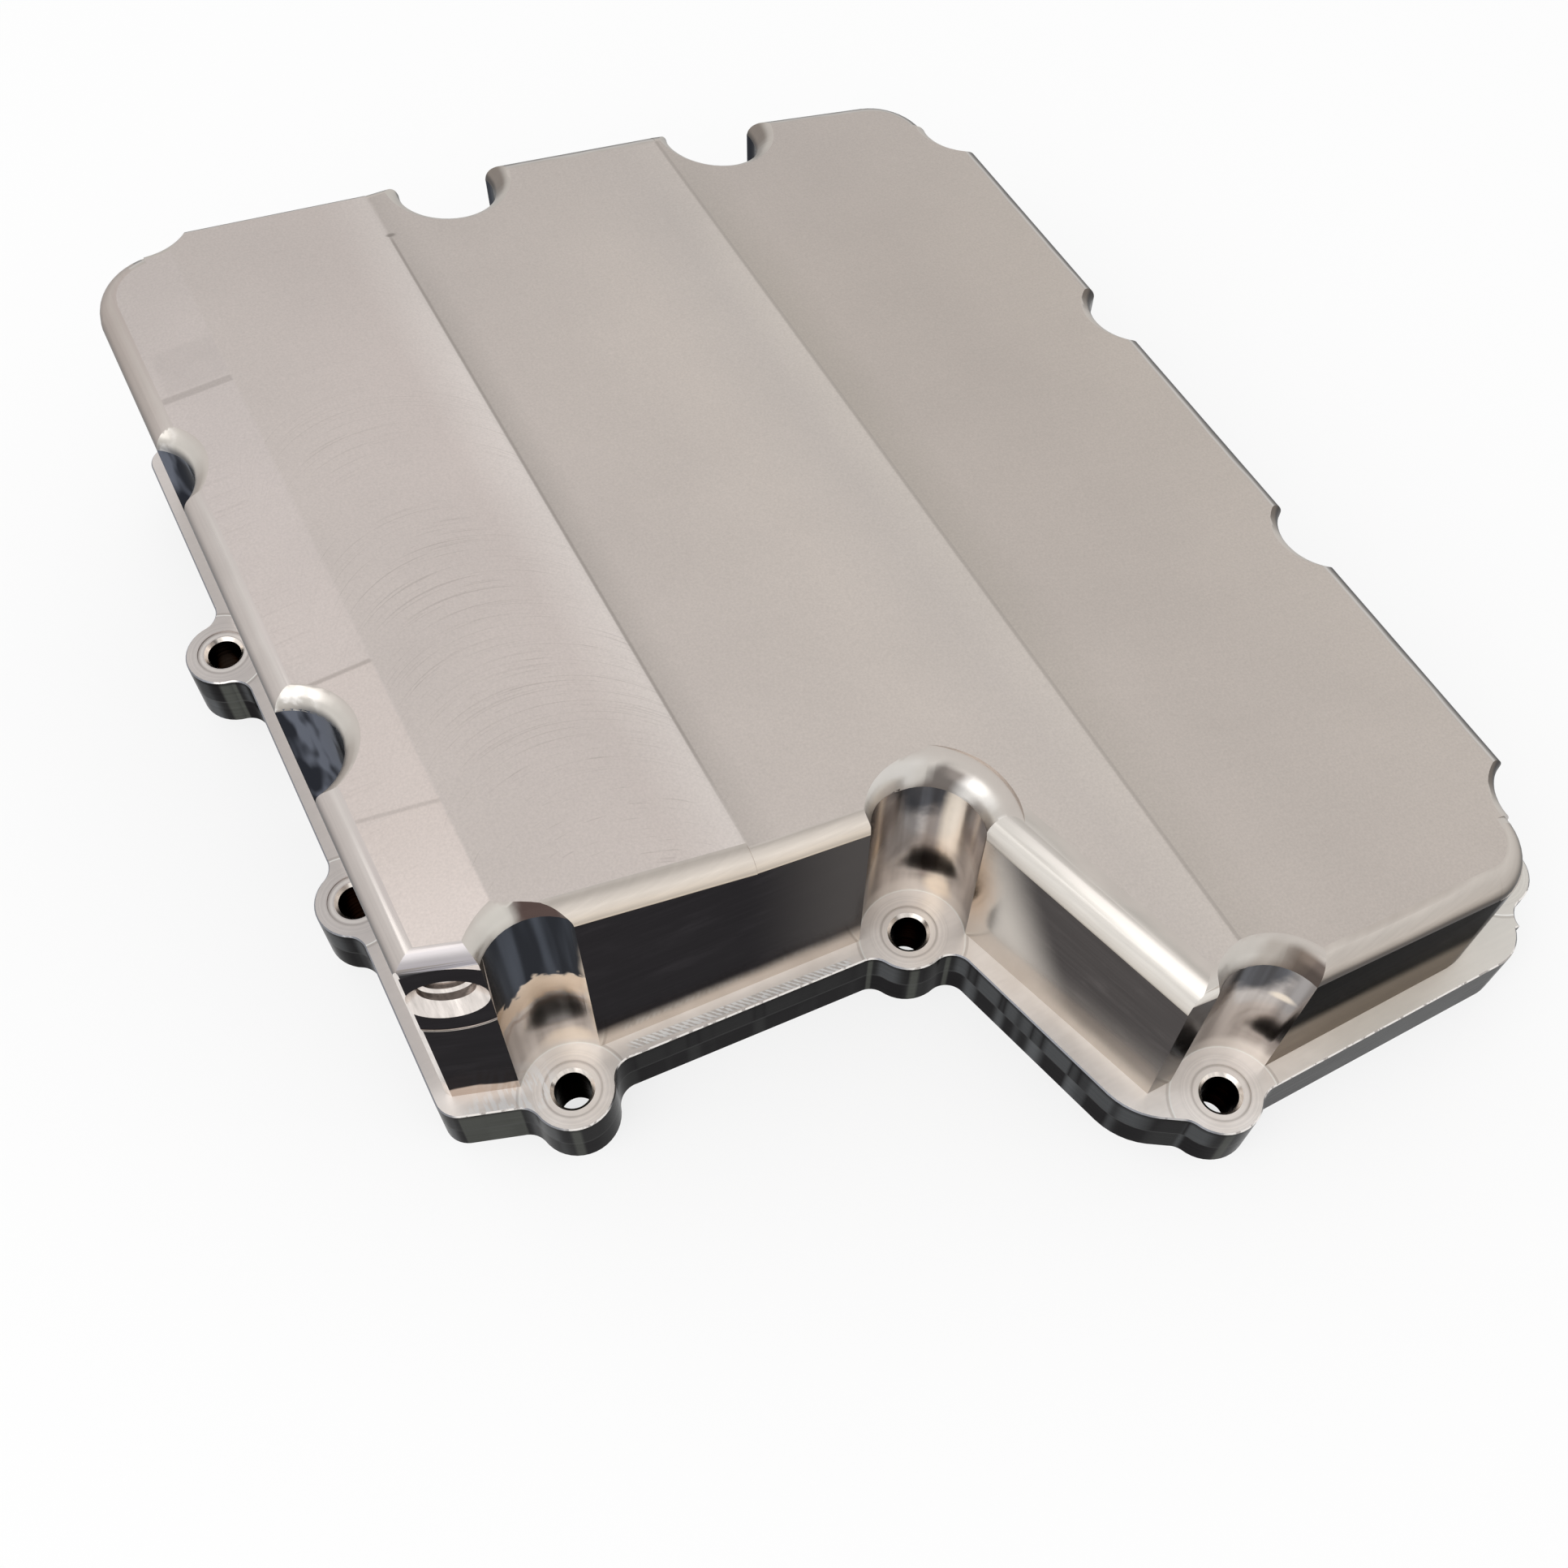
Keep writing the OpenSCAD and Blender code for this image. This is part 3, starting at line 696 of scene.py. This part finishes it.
grain = f.noise(2.4, 3)
clouds = f.noise(0.045, 2)
colour = f.shade(colour, grain, 0.13)
colour = f.shade(colour, clouds, 0.06)
colour = f.shade(colour, f.mix(past_middle, PLAIN, wide), 0.02)
colour = f.coat(colour, f.times(marks, 0.24), (126, 118, 112))
print("floor nodes so far:", len(f.tree.nodes))

# %% [markdown]
# ## Steps and creases
# The steps across the deep side each carry a thin dark line, and the creases
# between the slopes a thin line of painted shade. A strip mask about one measure
# draws such a line at any width, and a fade along it lets the line run out.

# %% Add the steps and the creases of the floor
slant_y = f.maths("MULTIPLY_ADD", f.x, 0.19, f.y)
for measure, level, width, seen in (
    (f.y, 128.0, 1.0, 0.3), (f.y, 59.6, 0.25, 0.4), (slant_y, 30.2, 0.2, 0.25),
):
    line = f.times(f.strip(measure, level, width, 0.5), deep_part, f.fade(f.x, -16.5, -14.5))
    colour = f.coat(colour, f.times(line, seen), (130, 122, 116))
patch = f.times(f.strip(f.y, 134.5, 9, 1.5), deep_part, f.fade(f.x, -14.5, -13.0), f.noise(0.3, 3))
colour = f.coat(colour, f.times(patch, 0.3), (165, 158, 154))
# A thin line of painted shade along the middle crease.
crease = f.times(
    f.strip(f.x, MID_CREASE_X + 0.15, 0.2, 0.35), f.fade(f.y, 160, 156),
    f.fade(f.y, 10, 30, 0.3, 1.0),
)
colour = f.coat(colour, f.times(crease, 0.5), (120, 112, 106))
# A thin line of painted shade along the far crease.
far_crease = f.strip(f.x, FAR_CREASE_X, 0.3, 0.4)
colour = f.coat(colour, f.times(far_crease, 0.35), (130, 122, 116))
colour = f.coat(colour, f.times(f.spot((37.4, 158.4, 57.4), (0.9, 0.45, 3)), 0.6), (110, 104, 98))
height = f.add(f.times(grain, 0.5), f.times(marks, -0.8), f.times(wide, 0.25))
roughness = f.add(f.times(clouds, 0.14), f.times(arcs, 0.1), 0.27)
made_finishes["floor"] = f.done(colour, roughness, height, 0.012)
print("floor nodes:", len(f.tree.nodes))

# %% [markdown]
# ## The rounds along the edges
# A round works as a curved mirror: it shows the bright ceiling where it
# turns up and the dark bench where it turns out, so its colour runs in bands
# along it. There is no bench in this studio to mirror. The upright part of the
# surface normal says how far the round has turned, and a colour ramp on that
# paints the bands, with faint draw lines from the cutter along them.

# %% Paint the rounds
ROUND_BANDS = {
    "long": [
        (0.0, (112, 103, 96)), (0.05, (212, 198, 180)), (0.22, (190, 179, 166)),
        (0.42, (216, 204, 190)), (0.68, (230, 220, 209)), (0.86, (209, 200, 191)),
        (0.95, (180, 172, 164)), (1.0, (198, 190, 183)),
    ],
    "slant": [
        (0.0, (172, 164, 154)), (0.12, (206, 199, 190)), (0.5, (222, 217, 210)),
        (0.78, (216, 211, 204)), (0.9, (205, 199, 193)), (0.97, (186, 180, 173)),
        (1.0, (196, 188, 181)),
    ],
    "front": [
        (0.0, (58, 54, 52)), (0.1, (88, 82, 78)), (0.3, (100, 94, 89)),
        (0.44, (160, 151, 142)), (0.62, (192, 183, 174)), (0.85, (196, 188, 180)),
        (0.95, (206, 198, 190)), (1.0, (189, 180, 172)),
    ],
    "deep": [
        (0.0, (62, 62, 66)), (0.2, (112, 109, 108)), (0.4, (158, 151, 147)),
        (0.62, (186, 178, 173)), (0.85, (198, 190, 185)), (0.95, (208, 201, 196)),
        (1.0, (202, 193, 189)),
    ],
    "port": [
        (0.0, (88, 86, 90)), (0.06, (214, 210, 212)), (0.16, (158, 154, 160)),
        (0.45, (176, 171, 174)), (0.7, (196, 191, 192)), (0.86, (186, 181, 182)),
        (1.0, (212, 204, 200)),
    ],
    "far": [
        (0.0, (56, 56, 58)), (0.55, (60, 60, 62)), (0.78, (84, 82, 82)),
        (0.9, (150, 146, 142)), (0.955, (206, 202, 198)), (0.985, (190, 183, 176)),
        (1.0, (187, 179, 173)),
    ],
}
for side, bands in ROUND_BANDS.items():
    f = Finish("round_" + side, 0.6)
    turned = f.add(f.nz, f.sway(f.noise(0.06, 2), 0.12))
    colour = f.ramp(turned, bands)
    drawn_out = (1.5, 0.05, 2.6) if side == "deep" else (0.12, 0.12, 2.6)
    draw = f.noise(1.0, 3, stretch=drawn_out)
    colour = f.shade(colour, draw, 0.1)
    colour = f.shade(colour, f.noise(0.12, 3), 0.07)
    if side == "front":
        turned_out = f.times(f.fade(f.x, 140, 158), f.fade(f.nz, 0.9, 0.45))
        colour = f.coat(colour, turned_out, (62, 60, 58))
    if side == "deep":
        colour = f.coat(colour, f.times(f.fade(f.y, 90, 155), 0.35), (150, 134, 122))
    roughness = f.add(f.times(draw, 0.12), 0.24)
    made_finishes["round_" + side] = f.done(colour, roughness, draw, 0.01)
print("rounds:", sorted(ROUND_BANDS))

# %% [markdown]
# ## The flared rims of the pockets
# The rims were rounded with a ball cutter, and shine. Their dark streak is the
# dim room behind the camera, which shows wherever the rim faces that way,
# and beside it is the streak of a bright lamp. Both follow the direction that the
# normal has when it is seen from above. Each streak in the list has the X places
# it lies between, its direction, where it is full and where it is gone, its
# strength and its colour.

# %% Paint the rims of the front pockets
f = Finish("flare", 0.6)
flat_length = f.bow(f.nz, 1.0, 0.0001)


def facing(degrees):
    """1 where the normal, seen from above, points in a direction."""
    a = math.radians(degrees)
    flat = f.add(f.times(f.nx, math.cos(a)), f.times(f.ny, math.sin(a)))
    return f.maths("DIVIDE", flat, flat_length)


colour = f.ramp(f.nz, [
    (0.0, (140, 134, 128)), (0.2, (176, 170, 163)), (0.55, (202, 197, 190)),
    (0.85, (204, 198, 191)), (1.0, (197, 189, 182)),
])
ripple = f.noise(0.3, 3)
front_rims = f.fade(f.y, 24, 20)
turn = f.sway(f.noise(0.2, 2), 0.12)
steep = f.fade(f.nz, 0.985, 0.8)
FRONT_STREAKS = (
    (-12, 13, -113, 0.965, 0.86, 1.0, (88, 73, 69)),
    (-12, 13, -74, 0.985, 0.93, 0.5, (218, 214, 206)),
    (50, 81, -131, 0.985, 0.88, 0.85, (88, 80, 76)),
    (50, 81, -164, 0.985, 0.88, 0.6, (240, 237, 233)),
    (50, 81, -70, 0.95, 0.8, 0.5, (224, 221, 217)),
    (82, 113, -154, 0.96, 0.76, 1.0, (86, 77, 72)),
    (82, 113, -122, 0.98, 0.85, 0.4, (140, 126, 114)),
)
for near_x, far_x, degrees, full, gone, strength, rgb in FRONT_STREAKS:
    between = f.times(
        f.fade(f.x, near_x - 1, near_x + 1), f.fade(f.x, far_x + 1, far_x - 1)
    )
    towards = f.fade(f.add(facing(degrees), turn), gone, full)
    colour = f.coat(colour, f.times(towards, steep, between, front_rims, strength), rgb)
print(len(FRONT_STREAKS), "streaks on the rims at the front")

# %% [markdown]
# ## Rims at the sides and the rear
# These rims face other ways. At the deep side they catch the lamp, and at the
# shallow side and the rear the dim room. The same two masks are enough for them,
# one for the direction and one for how steep the rim is.

# %% Paint the other rims
deep_rims = f.times(f.fade(f.x, -8, -11), f.fade(f.y, 30, 40))
lamp_light = f.times(f.fade(facing(-118), 0.86, 0.97), f.fade(f.nz, 0.98, 0.8), deep_rims)
lamp_light = f.times(lamp_light, f.fade(ripple, 0.4, 0.55), 0.9)
colour = f.coat(colour, lamp_light, (244, 240, 236))
bench = f.times(f.fade(f.nz, 0.55, 0.1), f.fade(facing(-170), 0.5, 0.9), deep_rims, 0.75)
colour = f.coat(colour, bench, (84, 86, 90))
dusk = f.times(f.fade(facing(112), 0.3, 0.95), f.fade(f.nz, 0.99, 0.85), deep_rims, 0.7)
colour = f.coat(colour, dusk, (158, 148, 140))
side_rims = f.times(f.fade(f.x, 135, 140), f.fade(f.y, -42, -40))
room = f.times(f.fade(facing(-62), 0.55, 0.95), f.fade(f.nz, 0.99, 0.8), side_rims, 0.85)
colour = f.coat(colour, room, (86, 76, 68))
colour = f.coat(colour, f.times(f.fade(f.nz, 0.72, 0.5), side_rims, 0.9), (66, 64, 64))
rear_rims = f.fade(f.y, 140, 145)
room = f.times(f.fade(facing(178), 0.6, 0.95), f.fade(f.nz, 0.98, 0.75), rear_rims, 0.75)
colour = f.coat(colour, room, (104, 92, 84))
colour = f.coat(colour, f.times(f.fade(f.nz, 0.5, 0.3), rear_rims, 0.75), (72, 71, 71))
colour = f.shade(colour, ripple, 0.06)
roughness = f.add(f.times(ripple, 0.1), 0.26)
made_finishes["flare"] = f.done(colour, roughness, f.noise(0.9, 2, stretch=(1, 1, 2)), 0.008)
print("flare nodes:", len(f.tree.nodes))

# %% [markdown]
# ## The pocket walls
# The pockets are the brightest cuts on the pan, nearly mirrors. Low down they show the pale
# flange and, as a dark blob, the bolt hole in it: these two are real reflections, and the low
# part is also painted pale as a reflection of the flange. Higher up they show the dark bench,
# which isn't in this studio, so the metal is painted dark there as its reflection, with the uneven
# tan fringe painted between.

# %% Paint the pocket walls
f = Finish("pocket", 0.55)
reed = f.noise(0.3, 2, stretch=(1, 1, 0.05))
waves = f.noise(0.16, 3, stretch=(1, 1, 0.6))
colour = f.mix(f.fade(reed, 0.3, 0.7), tone(176, 168, 163), tone(214, 207, 202))
# Low down the pockets are painted pale, a reflection of the flange.
colour = f.coat(colour, f.times(f.fade(f.z, 19, 15.5), 0.7), (240, 234, 228))
# The dark tone is a painted reflection of the dark bench.
dark_reflection = f.mix(f.fade(reed, 0.4, 0.65), tone(42, 44, 49), tone(76, 80, 88))
first_pocket = f.times(f.fade(f.x, 13, 11), f.fade(f.y, 20, 18), f.fade(f.x, -12, -10))
fringe = f.add(f.z, f.sway(waves, 14), f.sway(f.noise(0.5, 2), 5))
tan_band = f.times(f.strip(fringe, 38.5, 4.5, 2.0), first_pocket, 0.8)
colour = f.coat(colour, tan_band, (222, 200, 176))
colour = f.mix(f.times(f.fade(fringe, 41.0, 42.2), first_pocket), colour, dark_reflection)
brown_line = f.times(f.strip(fringe, 32.5, 1.0, 1.5), first_pocket, 0.45)
colour = f.coat(colour, brown_line, (150, 126, 110))
# Brownish painted reflections on the wall of the second pocket.
for centre, size, strength, rgb in (
    ((72.0, 5.2, 38.0), (2.2, 2.4, 20.0), 0.6, (112, 100, 93)),
    ((62.0, 8.2, 40.0), (3.0, 3.0, 20.0), 0.4, (120, 108, 101)),
):
    colour = f.coat(colour, f.times(f.spot(centre, size, 0.5, 0.5), strength), rgb)
print("pocket nodes so far:", len(f.tree.nodes))

# %% [markdown]
# ## What the pockets mirror
# A curved mirror draws its surroundings out into tall streaks. Masks in the shape
# of an egg, tall and narrow and placed by their measures on the pan, give the same
# streaks without any surroundings. The pockets at the sides and the rear take
# broad panels of two dark tones.

# %% Add what the pockets mirror
DARK_SPOTS = (
    ((70.0, 6.4, 50.0), (5.5, 5.0, 9.0), 0.9), ((66.0, 8.0, 38.0), (4.0, 5.0, 14.0), 0.55),
    ((57.5, 3.0, 34.0), (2.0, 4.0, 26.0), 0.35), ((101.5, -44.6, 44.5), (5.5, 4.0, 7.0), 0.9),
    ((106.4, -51.0, 40.0), (2.0, 4.0, 20.0), 0.5), ((2.5, 8.0, 52.0), (3.0, 4.0, 10.0), 0.4),
)
BRIGHT_SPOTS = (
    ((73.6, 2.6, 38.0), (1.5, 2.5, 16.0), 0.7), ((61.0, 6.4, 36.0), (1.0, 2.0, 16.0), 0.6),
    ((73.3, 3.2, 17.0), (2.2, 2.5, 4.0), 0.9), ((8.0, 3.6, 32.0), (1.3, 2.4, 18.0), 0.95),
    ((105.2, -48.0, 36.8), (1.4, 2.2, 1.0), 0.8), ((3.5, 7.2, 17.0), (4.5, 3.0, 3.0), 0.7),
)
for centre, size, strength in DARK_SPOTS:
    colour = f.mix(f.times(f.spot(centre, size, 0.35, 0.6), strength), colour, dark_reflection)
for centre, size, strength in BRIGHT_SPOTS:
    colour = f.coat(colour, f.times(f.spot(centre, size, 0.5, 0.4), strength), (246, 232, 214))
behind = f.times(f.fade(f.y, 20, 22), f.fade(f.z, 19, 26))
patches = f.fade(f.noise(0.22, 2, stretch=(1, 1, 0.3)), 0.42, 0.55)
panels = f.mix(patches, tone(40, 42, 48), tone(98, 102, 112))
colour = f.mix(behind, colour, f.mix(f.fade(f.x, -5, -9), dark_reflection, panels))
roughness = f.add(f.times(reed, 0.08), 0.12)
fine_reed = f.noise(0.6, 2, stretch=(1, 1, 0.05))
made_finishes["pocket"] = f.done(colour, roughness, fine_reed, 0.004)
print("pocket nodes:", len(f.tree.nodes))

# %% [markdown]
# ## The walls
# The walls were cut with the side of the mill in one tall pass and mirror the
# dark bench, except at the foot, where they show the pale flange. Both are
# painted reflections in the colour, and a mask on the height parts the two. Each
# wall in the list has its own painted dark tone, the painted tone of its pale foot,
# how fast the foot rises with X and how high it is, how soft its upper limit is, and how uneven.

# %% Paint the walls
WALLS = {
    "long": ((44, 42, 44), (212, 202, 192), 0.0, 17.0, 3.6, 1.5),
    "port": ((42, 40, 42), (200, 184, 172), 0.0, 15.6, 0.6, 4.0),
    "slant": ((84, 80, 79), (226, 218, 208), 0.0, 15.0, 4.0, 1.5),
    "front": ((46, 43, 42), (226, 211, 195), -0.1, 37.5, 4.0, 1.5),
    "deep": ((84, 83, 86), (186, 180, 174), 0.0, 16.5, 3.0, 1.5),
    "far": ((112, 108, 105), (196, 188, 181), 0.0, 16.0, 4.0, 1.5),
}
LIGHTER = 1.14
for side, (dark_rgb, foot_rgb, rise, foot_z, soft, swing) in WALLS.items():
    f = Finish("wall_" + side, 0.25 if side == "front" else 0.5)
    draw = f.noise(1.0, 3, stretch=(0.07, 0.07, 1.4))
    uneven = f.noise(0.22, 3, stretch=(0.5, 0.5, 1.2))
    foot = f.add(f.z, f.times(f.x, -rise), f.sway(uneven, swing))
    # Painted reflections: the dark bench above, the pale flange at the foot.
    foot_part = f.fade(foot, foot_z - soft / 2, foot_z + soft, 1.0, 0.0)
    lighter = tone(*(c * LIGHTER for c in dark_rgb))
    dark_part = f.mix(f.fade(uneven, 0.5, 0.75), tone(*dark_rgb), lighter)
    dark_part = f.shade(dark_part, draw, 0.22)
    colour = f.mix(foot_part, dark_part, f.shade(tone(*foot_rgb), draw, 0.12))
    # Painted reflections: the long wall lightens towards its far end and is bright low down.
    if side == "long":
        far_end = f.mix(foot_part, tone(92, 88, 86), tone(206, 198, 190))
        colour = f.mix(f.times(f.fade(f.x, 34, 57), 0.8), colour, far_end)
        colour = f.coat(colour, f.times(f.fade(f.z, 16.5, 14.5), 0.6), (226, 216, 206))
    # Painted light on the slant wall: a lit part, a warm reflection and a lighter low end.
    if side == "slant":
        down_wall = f.add(f.times(f.add(f.x, -76), 0.53), f.times(f.add(f.y, 5), -0.85))
        lit = f.fade(f.add(down_wall, f.times(f.z, 0.5)), 20, 34, 1.0, 0.0)
        colour = f.coat(colour, f.times(lit, 0.85), (228, 220, 211))
        warm = f.spot((74.3, -4.5, 32.0), (2.6, 4.0, 14.0), 0.6, 0.5)
        colour = f.coat(colour, f.times(warm, 0.8), (214, 190, 166))
        low_end = f.fade(f.add(f.z, f.times(f.x, -0.35)), 2, -16)
        colour = f.coat(colour, f.times(low_end, 0.6), (190, 182, 174))
    # A painted dark reflection high up on the far and deep walls.
    if side in ("far", "deep"):
        upper = f.times(f.fade(f.z, 26, 50), 0.9)
        colour = f.mix(upper, colour, f.shade(tone(50, 49, 50), draw, 0.22))
    # A near-black painted reflection at the corner of the front wall.
    if side == "front":
        colour = f.coat(colour, f.fade(f.x, 152, 157), (36, 34, 34))
    # A painted highlight along the edge of the port's spot face, which is also cut in the mesh.
    if side == "port":
        ring = f.strip(f.distance((*PORT_AT, PORT_Z)), 11.0, 0.16, 0.12)
        colour = f.coat(colour, f.times(ring, 0.9), (232, 222, 212))
    roughness = f.add(f.times(uneven, 0.12), 0.12)
    made_finishes["wall_" + side] = f.done(colour, roughness, draw, 0.008)
print("walls:", sorted(WALLS))

# %% [markdown]
# ## The flange
# The top of the flange was faced last. Round each bolt hole it carries the rings
# that the spot facer turned, and between them crossing strokes and dull
# patches. The rings are a fifth of a millimetre apart, too fine for a mesh, so
# they are lines in the finish, drawn from the distance to the nearest hole.

# %% Paint the flange's top
f = Finish("ledge")


def nearest_of(places):
    """The distance to the nearest of some places on the flange's top."""
    gap = f.distance((*places[0], FLANGE_TOP))
    for place in places[1:]:
        gap = f.maths("MINIMUM", gap, f.distance((*place, FLANGE_TOP)))
    return gap


from_hole = nearest_of(holes)
rings = f.lines(from_hole, 0.22, f.z, 5)
strokes = f.noise(0.9, 3, stretch=(0.3, 1.5, 1))
patches = f.noise(0.14, 3)
colour = f.mix(f.fade(patches, 0.3, 0.7), tone(232, 225, 219), tone(243, 237, 232))
colour = f.coat(colour, f.times(f.fade(f.x, 100, 130), 0.9), (210, 206, 199))
colour = f.coat(colour, f.times(f.fade(f.x, -15, -18), f.fade(f.y, 5, 15)), (208, 201, 197))
colour = f.shade(colour, strokes, 0.05)
seat = f.fade(from_hole, 7.0, 7.6, 1.0, 0.0)
colour = f.shade(colour, f.mix(seat, PLAIN, rings), 0.16)
colour = f.coat(colour, f.times(f.strip(from_hole, 5.0, 0.15, 0.25), 0.35), (140, 130, 122))
colour = f.coat(colour, f.times(f.strip(from_hole, 4.35, 0.3, 0.2), 0.5), (240, 234, 228))
print("ledge nodes so far:", len(f.tree.nodes))

# %% [markdown]
# ## The nicks and the highlights round the pockets
# Before the long wall the end mill sang, and left a row of short bright nicks. A
# sine along the wall, broken up by noise inside a narrow strip, draws them. Round
# the foot of each pocket a bright ring is painted as the highlight of its corner,
# with a dull ring beside it, and both come from the distance to the middle of the nearest pocket.

# %% Add the row of nicks and the highlights round the pockets
NICK_PITCH = 1.05
along = f.add(f.times(f.x, 0.996), f.times(f.y, -0.09))
off_line = f.add(f.times(f.y, 0.996), f.times(f.x, 0.09), -3.5)
row = f.times(f.strip(off_line, 0.0, 1.2, 0.3), f.fade(f.x, 11, 13), f.fade(f.x, 54, 52))
beads = f.times(f.add(along, f.times(off_line, 1.2)), 2 * math.pi / NICK_PITCH)
beads = f.maths("SINE", beads)
nicks = f.fade(f.add(beads, f.sway(f.noise(0.9, 2), 5.0)), -0.6, 0.5)
colour = f.coat(colour, f.times(row, 0.7), (198, 193, 189))
strokes_across = f.fade(f.noise(0.7, 3, stretch=(1.6, 0.3, 1)), 0.47, 0.56)
crossing = f.times(f.spot((-9.0, 3.0, 13.0), (8.0, 4.0, 3.0), 0.4, 0.8), strokes_across)
colour = f.coat(colour, f.times(crossing, 0.8), (255, 252, 250))
colour = f.coat(colour, f.times(row, nicks), (255, 254, 252))
from_pocket = nearest_of(centres)
# A painted highlight round the foot of each pocket, and a dull ring beside it.
pocket_foot_highlight = f.strip(from_pocket, POCKET_R - 0.05, 0.12, 0.15)
dull_ring = f.strip(from_pocket, POCKET_R + 0.35, 0.2, 0.25)
colour = f.coat(colour, f.times(pocket_foot_highlight, 0.8), (250, 246, 242))
colour = f.coat(colour, f.times(dull_ring, 0.35), (150, 140, 132))
height = f.add(f.times(rings, seat, 0.8), f.times(strokes, 0.5), f.times(row, nicks, -1.0))
roughness = f.add(f.times(patches, 0.08), f.times(strokes, 0.06), 0.36)
f.shader.inputs["Metallic"].default_value = 0.6
made_finishes["ledge"] = f.done(colour, roughness, height, 0.01)
print("ledge nodes:", len(f.tree.nodes))

# %% [markdown]
# ## The flange's side and its bevel
# The side shows two passes of the mill, one above the other. Its dark tone is a
# painted reflection of the dim room, with darker and lighter lengths painted as
# reflections. One stretched noise makes the lengths, and turning it over above the
# line of the passes makes two rows of them. Where the side faces the deep side it
# gets painted highlights. The bevel is bright where it faces the light and dull on either side of
# that, with small dents.

# %% Paint the flange's side and its bevel
PASS_Z = 6.3
f = Finish("side", 0.5)
draw = f.noise(1.0, 3, stretch=(0.06, 0.06, 2.4))
lengths = f.fade(f.noise(0.16, 1, stretch=(1, 1, 0.01)), 0.48, 0.62)
upper_pass = f.fade(f.z, PASS_Z - 0.1, PASS_Z + 0.2)
# The squares are painted reflections, turned over above the line of the passes.
mirrored_squares = f.maths("ABSOLUTE", f.maths("SUBTRACT", lengths, f.times(upper_pass, 0.6)))
colour = f.mix(mirrored_squares, tone(38, 37, 38), tone(53, 53, 53))
# Painted highlights where the side faces the deep side.
colour = f.coat(colour, f.times(f.fade(f.nx, -0.55, -0.8), mirrored_squares, 0.9), (100, 102, 104))
colour = f.coat(colour, f.times(f.strip(f.nx, -0.35, 0.1, 0.1), 0.5), (104, 106, 100))
colour = f.shade(colour, draw, 0.3)
colour = f.coat(colour, f.times(f.strip(f.z, PASS_Z, 0.15, 0.2), 0.4), (92, 92, 92))
colour = f.coat(colour, f.times(f.fade(f.z, 11.4, 12.4), 0.6), (30, 29, 30))
made_finishes["side"] = f.done(colour, f.add(f.times(draw, 0.12), 0.18), draw, 0.01)
f = Finish("edge")
dents = f.noise(0.7, 3, stretch=(1, 1, 0.2))
colour = f.mix(f.fade(dents, 0.4, 0.5), tone(176, 170, 166), tone(236, 231, 226))
colour = f.coat(colour, f.fade(f.nx, -0.25, -0.5), (132, 133, 138))
colour = f.coat(colour, f.fade(f.nx, 0.3, 0.5), (98, 98, 100))
made_finishes["edge"] = f.done(colour, f.add(f.times(dents, 0.15), 0.2), dents, 0.006)
print("finishes so far:", len(made_finishes))

# %% [markdown]
# ## Holes, gasket face and inside
# The drill left rings down the bolt holes. Their walls are painted dark as shade,
# and their countersunk mouths painted bright as a highlight. The drain port's mouth
# is painted brighter still, with streaks down its cone. The gasket face was faced
# with a wide cutter in straight overlapping passes, and the inside was milled in the
# same way and never polished. Rings are lines at steps of height, and the surface
# normal tells the cone of a mouth from the wall of its hole.

# %% Paint the holes
# Painted light: the mouths are painted bright as highlights, the hole walls dark as shade.
for name, edge, lit_cone_rgb, shaded_wall_rgb in (
    ("bore", 0.3, (228, 220, 212), (40, 33, 29)),
    ("port_bore", 0.9, (226, 218, 212), (168, 160, 156)),
):
    f = Finish(name, edge)
    if name == "bore":
        cone_part = f.fade(f.nz, 0.2, 0.45)
        rings = f.lines(f.z, 0.5, f.x, 40)
    else:
        looks_out = f.add(f.times(f.nx, port_out.x), f.times(f.ny, port_out.y))
        cone_part = f.fade(f.maths("ABSOLUTE", looks_out), 0.3, 0.5)
        rings = f.noise(0.5, 2, stretch=(1.6, 0.2, 0.4))
    streaks = f.noise(0.6, 3, stretch=(1.5, 0.3, 0.3))
    wall_part = f.shade(tone(*shaded_wall_rgb), rings, 0.6)
    colour = f.mix(cone_part, wall_part, f.shade(tone(*lit_cone_rgb), streaks, 0.5))
    made_finishes[name] = f.done(colour, f.add(f.times(rings, 0.15), 0.14), rings, 0.03)
print("finishes so far:", len(made_finishes))

# %% Paint the gasket face and the inside
f = Finish("gasket")
passes = f.maths("PINGPONG", f.maths("MULTIPLY_ADD", f.x, 1.0, 40.0), 16.0)
arcs = f.lines(f.add(f.y, f.bow(passes, 20.0)), 0.45, f.x, 30)
colour = f.shade(f.shade(tone(188, 182, 177), arcs, 0.16), f.noise(0.05, 2), 0.08)
made_finishes["gasket"] = f.done(colour, f.add(f.times(arcs, 0.14), 0.22), arcs, 0.015)
f = Finish("inside")
draw = f.lines(f.add(f.x, f.z), 0.6, f.y, 25)
colour = f.shade(f.shade(tone(176, 170, 165), draw, 0.14), f.noise(0.08, 3), 0.1)
made_finishes["inside"] = f.done(colour, f.add(f.times(draw, 0.12), 0.3), draw, 0.02)
print("all finishes:", len(made_finishes))

# %% [markdown]
# ## One dressed piece
# The finishes go on the mesh in the order of the slots that the faces were
# sorted into. The dressed pan then stands in for the plain solid, which is hidden,
# and rides on the one body there is.

# %% Dress the pan
for name in FINISHES:
    pan_mesh.materials.append(made_finishes[name])
print("finishes on the pan:", len(pan_mesh.materials))

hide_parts("oil_pan")
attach(pan, "root")
